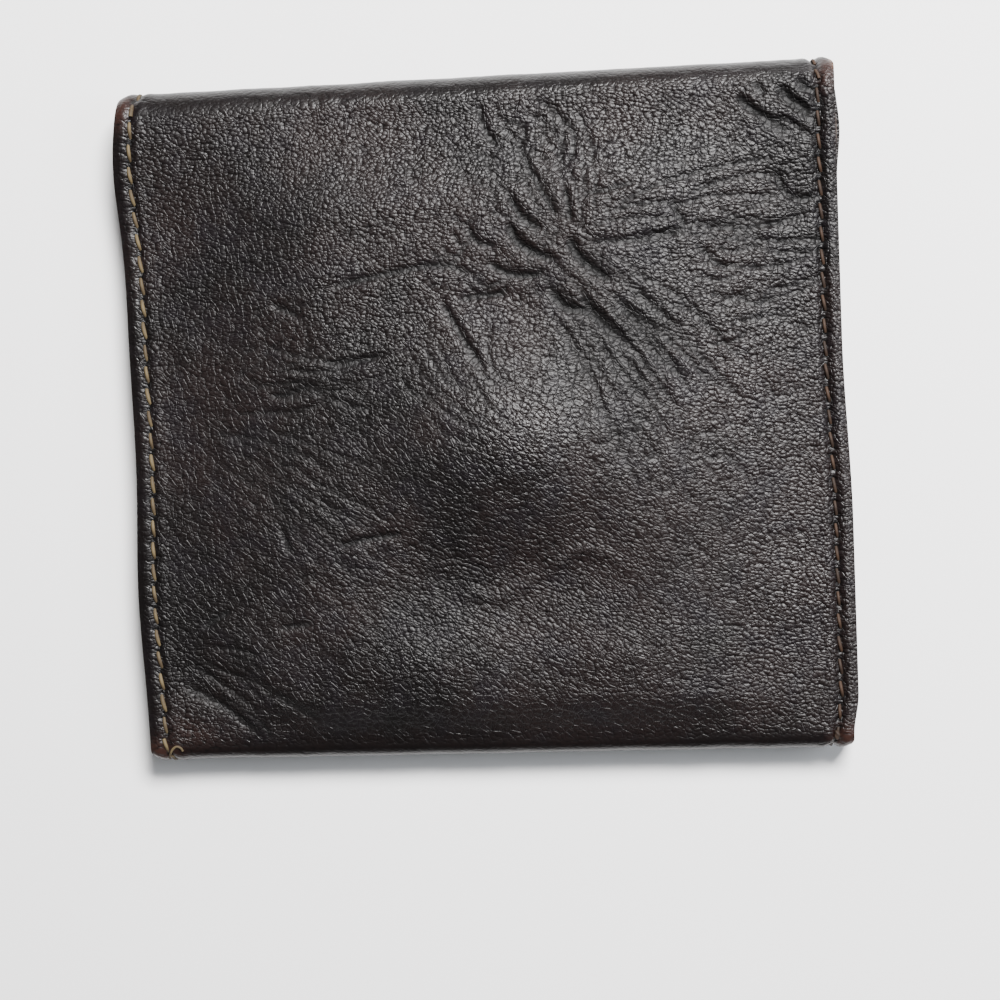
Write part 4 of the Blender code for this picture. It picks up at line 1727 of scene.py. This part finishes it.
    def build(self, brass: bpy.types.Material, steel: bpy.types.Material) -> None:
        """Make all five pieces and hang them on their bodies.

        Args:
            brass: finish of the turned pieces.
            steel: finish of the ring.
        """
        bodies = {"snap_cap": Body.FLAP, "snap_socket": Body.FLAP, "snap_stud": Body.PURSE,
                  "stud_eyelet": Body.PURSE}
        for name, (profile, z, closed) in self.profiles().items():
            made = self.turned(name, profile, z, brass, closed)
            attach(made, bodies[name].value)
            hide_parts(name)
            dress(made)
        made = self.spring(steel)
        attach(made, Body.FLAP.value)
        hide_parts("snap_spring")
        dress(made)


def wire(name: str, points: list[tuple[float, float, float]], radius: float,
         finish: bpy.types.Material) -> bpy.types.Object:
    """A round tube with closed ends through some points, as a plain mesh.

    Args:
        name: the piece's name.
        points: the line that it follows.
        radius: the tube's radius.
        finish: its material.

    Returns:
        The piece, at the origin.
    """
    curve = bpy.data.curves.new(name, "CURVE")
    curve.dimensions = "3D"
    curve.bevel_depth = radius
    curve.bevel_resolution = 2
    curve.use_fill_caps = True
    line = curve.splines.new("POLY")
    line.points.add(len(points) - 1)
    for spot, point in zip(line.points, points):
        spot.co = (*point, 1)
    carrier = bpy.data.objects.new(name, curve)
    bpy.context.scene.collection.objects.link(carrier)
    bpy.context.view_layer.update()
    evaluated = carrier.evaluated_get(bpy.context.evaluated_depsgraph_get())
    mesh = bpy.data.meshes.new_from_object(evaluated)
    bpy.data.objects.remove(carrier)
    shape = bmesh.new()
    shape.from_mesh(mesh)
    bmesh.ops.remove_doubles(shape, verts=shape.verts, dist=radius / 50)
    bmesh.ops.recalc_face_normals(shape, faces=shape.faces)
    shape.to_mesh(mesh)
    shape.free()
    mesh.shade_smooth()
    mesh.materials.clear()
    return add_object(name, mesh, finish)


@dataclass
class LooseEnds:
    """The tail of thread at the lower left corner and the knot at the lower right."""

    strip: Strip
    tail_radius: float = 0.15 * MM
    knot_radius: float = 0.42 * MM
    knot_shape: tuple[float, float, float] = (0.8, 1.35, 0.8)
    tail_steps: int = 6
    tail_route: tuple[tuple[float, float, float], ...] = (    # millimetres from the seam's corner
        (0.2, -1.4, -0.55), (0.4, -0.8, -0.1), (0.8, -0.2, 0.15), (1.3, 0.1, 0.25),
        (1.8, -0.1, 0.2), (2.0, -0.5, 0.05))

    def tail(self, finish: bpy.types.Material) -> bpy.types.Object:
        """A short curled end of thread.

        Args:
            finish: the thread's material.

        Returns:
            The piece.
        """
        seam_x = -self.strip.half_width + self.strip.seam_inset
        top = self.strip.front_z + 2 * self.strip.bottom_radius
        corner = np.array((seam_x, self.strip.bottom_y, top))
        route = corner + flow(self.tail_route, self.tail_steps) * MM
        return wire("thread_tail", route.tolist(), self.tail_radius, finish)

    def knot(self, finish: bpy.types.Material) -> bpy.types.Object:
        """A small lumpy knot of two turns of thread.

        Args:
            finish: the thread's material.

        Returns:
            The piece.
        """
        seam_x = self.strip.half_width - self.strip.seam_inset
        top = self.strip.front_z + 2 * self.strip.bottom_radius
        shape = bmesh.new()
        bmesh.ops.create_icosphere(shape, subdivisions=3, radius=1)
        for vert in shape.verts:
            lump = 1 + 0.16 * math.sin(5 * vert.co.y + 3 * vert.co.x) + 0.1 * noise.noise(vert.co * 2)
            vert.co = vert.co * Vector(self.knot_shape) * lump
            vert.co = vert.co * self.knot_radius + Vector((seam_x, self.strip.bottom_y, top))
        mesh = bpy.data.meshes.new("thread_knot")
        shape.to_mesh(mesh)
        shape.free()
        mesh.shade_smooth()
        return add_object("thread_knot", mesh, finish)

    def build(self, light: bpy.types.Material, dark: bpy.types.Material) -> None:
        """Make both and hang them on the purse.

        Args:
            light: finish of the tail.
            dark: finish of the knot.
        """
        for made in (self.tail(light), self.knot(dark)):
            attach(made, Body.PURSE.value)
            dress(made)


@dataclass
class Covering:
    """The leather and lining panels of the whole strip."""

    strip: Strip
    relief: Relief
    wear: Wear
    stitching: Stitching
    underlap: float = 0.97       # station where the back panel starts, under the bottom fold
    crest: float = 3.5           # station of the top fold's crest
    cloth_start: float = 0.008   # stations where the lining starts and ends
    cloth_end: float = 4.992
    cloth_inset: float = 0.35 * MM
    cloth_pitch: float = 1.0 * MM
    back_pitch: float = 0.34 * MM
    front_pitch: float = 0.75 * MM
    flap_pitch: float = 0.6 * MM
    stud_hole: float = 1.5 * MM
    cap_hole: float = 2.0 * MM
    bend_before: float = 1.0 * MM    # how far to each side of the hinge a bend would reach; hang works this out but nothing uses it
    bend_after: float = 2.7 * MM

    def hang(self, piece: bpy.types.Object, bodies: tuple[Body, ...], nodes: tuple[str, ...],
             slot: Slot) -> None:
        """Hang a panel on one body, or bend it between two over the top fold.

        Args:
            piece: the panel.
            bodies: the body it rides on, or the two it joins.
            nodes: the CAD nodes that it replaces.
            slot: the record's material slot; not used.
        """
        if len(bodies) == 1:
            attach(piece, bodies[0].value)
        else:
            start = self.strip.hinge_y - self.bend_before
            end = self.strip.hinge_y + self.bend_after
            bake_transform(piece)
        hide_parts(*nodes)
        dress(piece)

    def leather(self, finish: bpy.types.Material) -> None:
        """Make the back, the front panel and the flap.

        Args:
            finish: the leather.
        """
        rows = list(self.stitching.rows.values())
        snap = Vector((0, self.strip.snap_y, 0))
        back = Panel("back_leather", self.underlap, self.crest, self.back_pitch, ratio=3)
        made = back.build(self.strip, self.relief, self.wear, rows, finish)
        self.hang(made, (Body.PURSE, Body.TOP_FOLD), ("outer_leather", "top_fold_leather"),
                  Slot.LEATHER)
        front = Panel("front_leather", 0.0, self.underlap, self.front_pitch,
                      open_ends=(True, False))
        made = front.build(self.strip, self.relief, self.wear, rows, finish)
        drilled(made, snap, self.stud_hole)
        self.hang(made, (Body.PURSE,), (), Slot.LEATHER)
        flap = Panel("flap_leather_shell", self.crest, 5.0, self.flap_pitch,
                     open_ends=(False, True))
        made = flap.build(self.strip, self.relief, self.wear, rows, finish)
        drilled(made, snap, self.cap_hole)
        self.hang(made, (Body.FLAP, Body.TOP_FOLD), ("flap_leather",), Slot.LEATHER)

    def lining(self, finish: bpy.types.Material) -> None:
        """Make the pocket's cloth and the flap's cloth, which meet on the crest.

        Args:
            finish: the cloth.
        """
        depth = self.strip.leather + self.strip.gap
        common = {"depth": depth, "thickness": self.strip.lining, "worn": False,
                  "inset": self.cloth_inset}
        snap = Vector((0, self.strip.snap_y, 0))
        for name, first, last, bodies, nodes, hole in (
                ("pocket_cloth", self.cloth_start, self.crest, (Body.PURSE, Body.TOP_FOLD),
                 ("pocket_lining", "top_fold_lining"), None),
                ("flap_cloth", self.crest, self.cloth_end, (Body.FLAP, Body.TOP_FOLD),
                 ("flap_lining",), self.cap_hole)):
            panel = Panel(name, first, last, self.cloth_pitch, **common)
            made = panel.build(self.strip, self.relief, self.wear, [], finish)
            if hole:
                drilled(made, snap, hole)
            self.hang(made, bodies, nodes, Slot.LINING)
            width = 2 * (self.strip.half_width - panel.inset)
            length = float(self.strip.distance(last) - self.strip.distance(first))
            corner = (1 - math.pi / 4) * self.strip.flap_corner ** 2 * 2
            area = width * length - (corner if hole else 0)

    def build(self, leather: bpy.types.Material, cloth: bpy.types.Material) -> None:
        """Make every panel."""
        self.leather(leather)
        self.lining(cloth)


@dataclass(frozen=True)
class Lamp:
    """A rectangular soft lamp that faces the purse."""

    name: str
    at: tuple[float, float, float]
    size: tuple[float, float]
    power: float
    colour: tuple[float, float, float]

    def hang(self) -> None:
        """Put the lamp in the scene."""
        data = bpy.data.lights.new(self.name, "AREA")
        data.shape = "RECTANGLE"
        data.size, data.size_y = self.size
        data.energy = self.power
        data.color = self.colour
        made = bpy.data.objects.new(self.name, data)
        made.location = self.at
        made.rotation_euler = (-Vector(self.at)).to_track_quat("-Z", "Y").to_euler()
        bpy.context.scene.collection.objects.link(made)


@dataclass(frozen=True)
class Studio:
    """Floor, light and camera."""

    camera_at: tuple[float, float, float] = (0.0366, 0.0025, 0.2842)
    camera_turn: tuple[float, float, float] = (7.16, -2.54, -2.16)    # about Y, X and Z
    lens: float = 85.0
    sensor: float = 36.0
    clip: float = 0.01
    floor_tone: float = 0.88
    floor_half: float = 1.5
    sky: float = 0.18
    lamps: tuple[Lamp, ...] = (
        Lamp("window", (0.15, 0.26, 0.41), (0.20, 0.14), 12.0, (1.0, 0.985, 0.98)),
        Lamp("fill", (0.50, 0.05, 0.40), (0.25, 0.25), 2.0, (0.88, 0.93, 1.0)),
    )

    def camera(self) -> None:
        """Hang the camera over the purse, a little to its right."""
        data = bpy.data.cameras.new("camera")
        data.lens = self.lens
        data.sensor_width = self.sensor
        data.clip_start = self.clip
        made = bpy.data.objects.new("camera", data)
        turn = Matrix()
        for degrees, axis in zip(self.camera_turn, "YXZ"):
            turn = turn @ Matrix.Rotation(math.radians(degrees), 4, axis)
        made.matrix_world = Matrix.Translation(self.camera_at) @ turn
        bpy.context.scene.collection.objects.link(made)
        bpy.context.scene.camera = made

    def floor(self, level: float) -> None:
        """Lay a plain pale table top at a height in metres.

        Args:
            level: the height.
        """
        mesh = bpy.data.meshes.new("floor")
        shape = bmesh.new()
        bmesh.ops.create_grid(shape, x_segments=2, y_segments=2, size=self.floor_half)
        bmesh.ops.translate(shape, verts=shape.verts, vec=(0, 0, level))
        shape.to_mesh(mesh)
        shape.free()
        tree = Tree("pale_floor")
        finish = tree.finish((self.floor_tone,) * 3, 0.9, Specular_IOR_Level=0.1)
        add_object("floor", mesh, finish)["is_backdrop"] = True

    def build(self, level: float) -> None:
        """Set up the lights, the camera and a floor at a height in metres.

        Args:
            level: the floor's height.
        """
        self.camera()
        self.floor(level)
        world = bpy.data.worlds.new("studio")
        world.use_nodes = True
        world.node_tree.nodes["Background"].inputs["Color"].default_value = (1, 1, 1, 1)
        world.node_tree.nodes["Background"].inputs["Strength"].default_value = self.sky
        bpy.context.scene.world = world
        for lamp in self.lamps:
            lamp.hang()
        LOG.info("studio ready")


def main() -> None:
    """Build the purse piece by piece."""
    logging.basicConfig(level=logging.INFO, format="%(name)s: %(message)s")
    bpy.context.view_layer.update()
    strip = Strip.from_frame()
    relief, wear = Relief(), Wear()
    stitching = Stitching(strip, relief)
    Covering(strip, relief, wear, stitching).build(LeatherFinish().make(), ClothFinish().make())
    olive = ThreadFinish("olive_thread", (0.098, 0.074, 0.036), (0.030, 0.020, 0.011)).make()
    worn = ThreadFinish("worn_thread", (0.034, 0.018, 0.010), (0.010, 0.006, 0.004)).make()
    for name in stitching.rows:
        stitching.build(name, worn if name.endswith("right") else olive)
    LooseEnds(strip).build(olive, worn)
    brass = MetalFinish("aged_brass", (0.62, 0.46, 0.22), (0.16, 0.10, 0.05), 0.30)
    steel = MetalFinish("spring_steel", (0.55, 0.55, 0.55), (0.20, 0.17, 0.15), 0.28)
    PressStud(strip).build(brass.make(), steel.make())
    after = [list(corner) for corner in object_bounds()]
    Studio().build(after[0][2] - FLOOR_GAP)


if __name__ == "__main__":
    main()
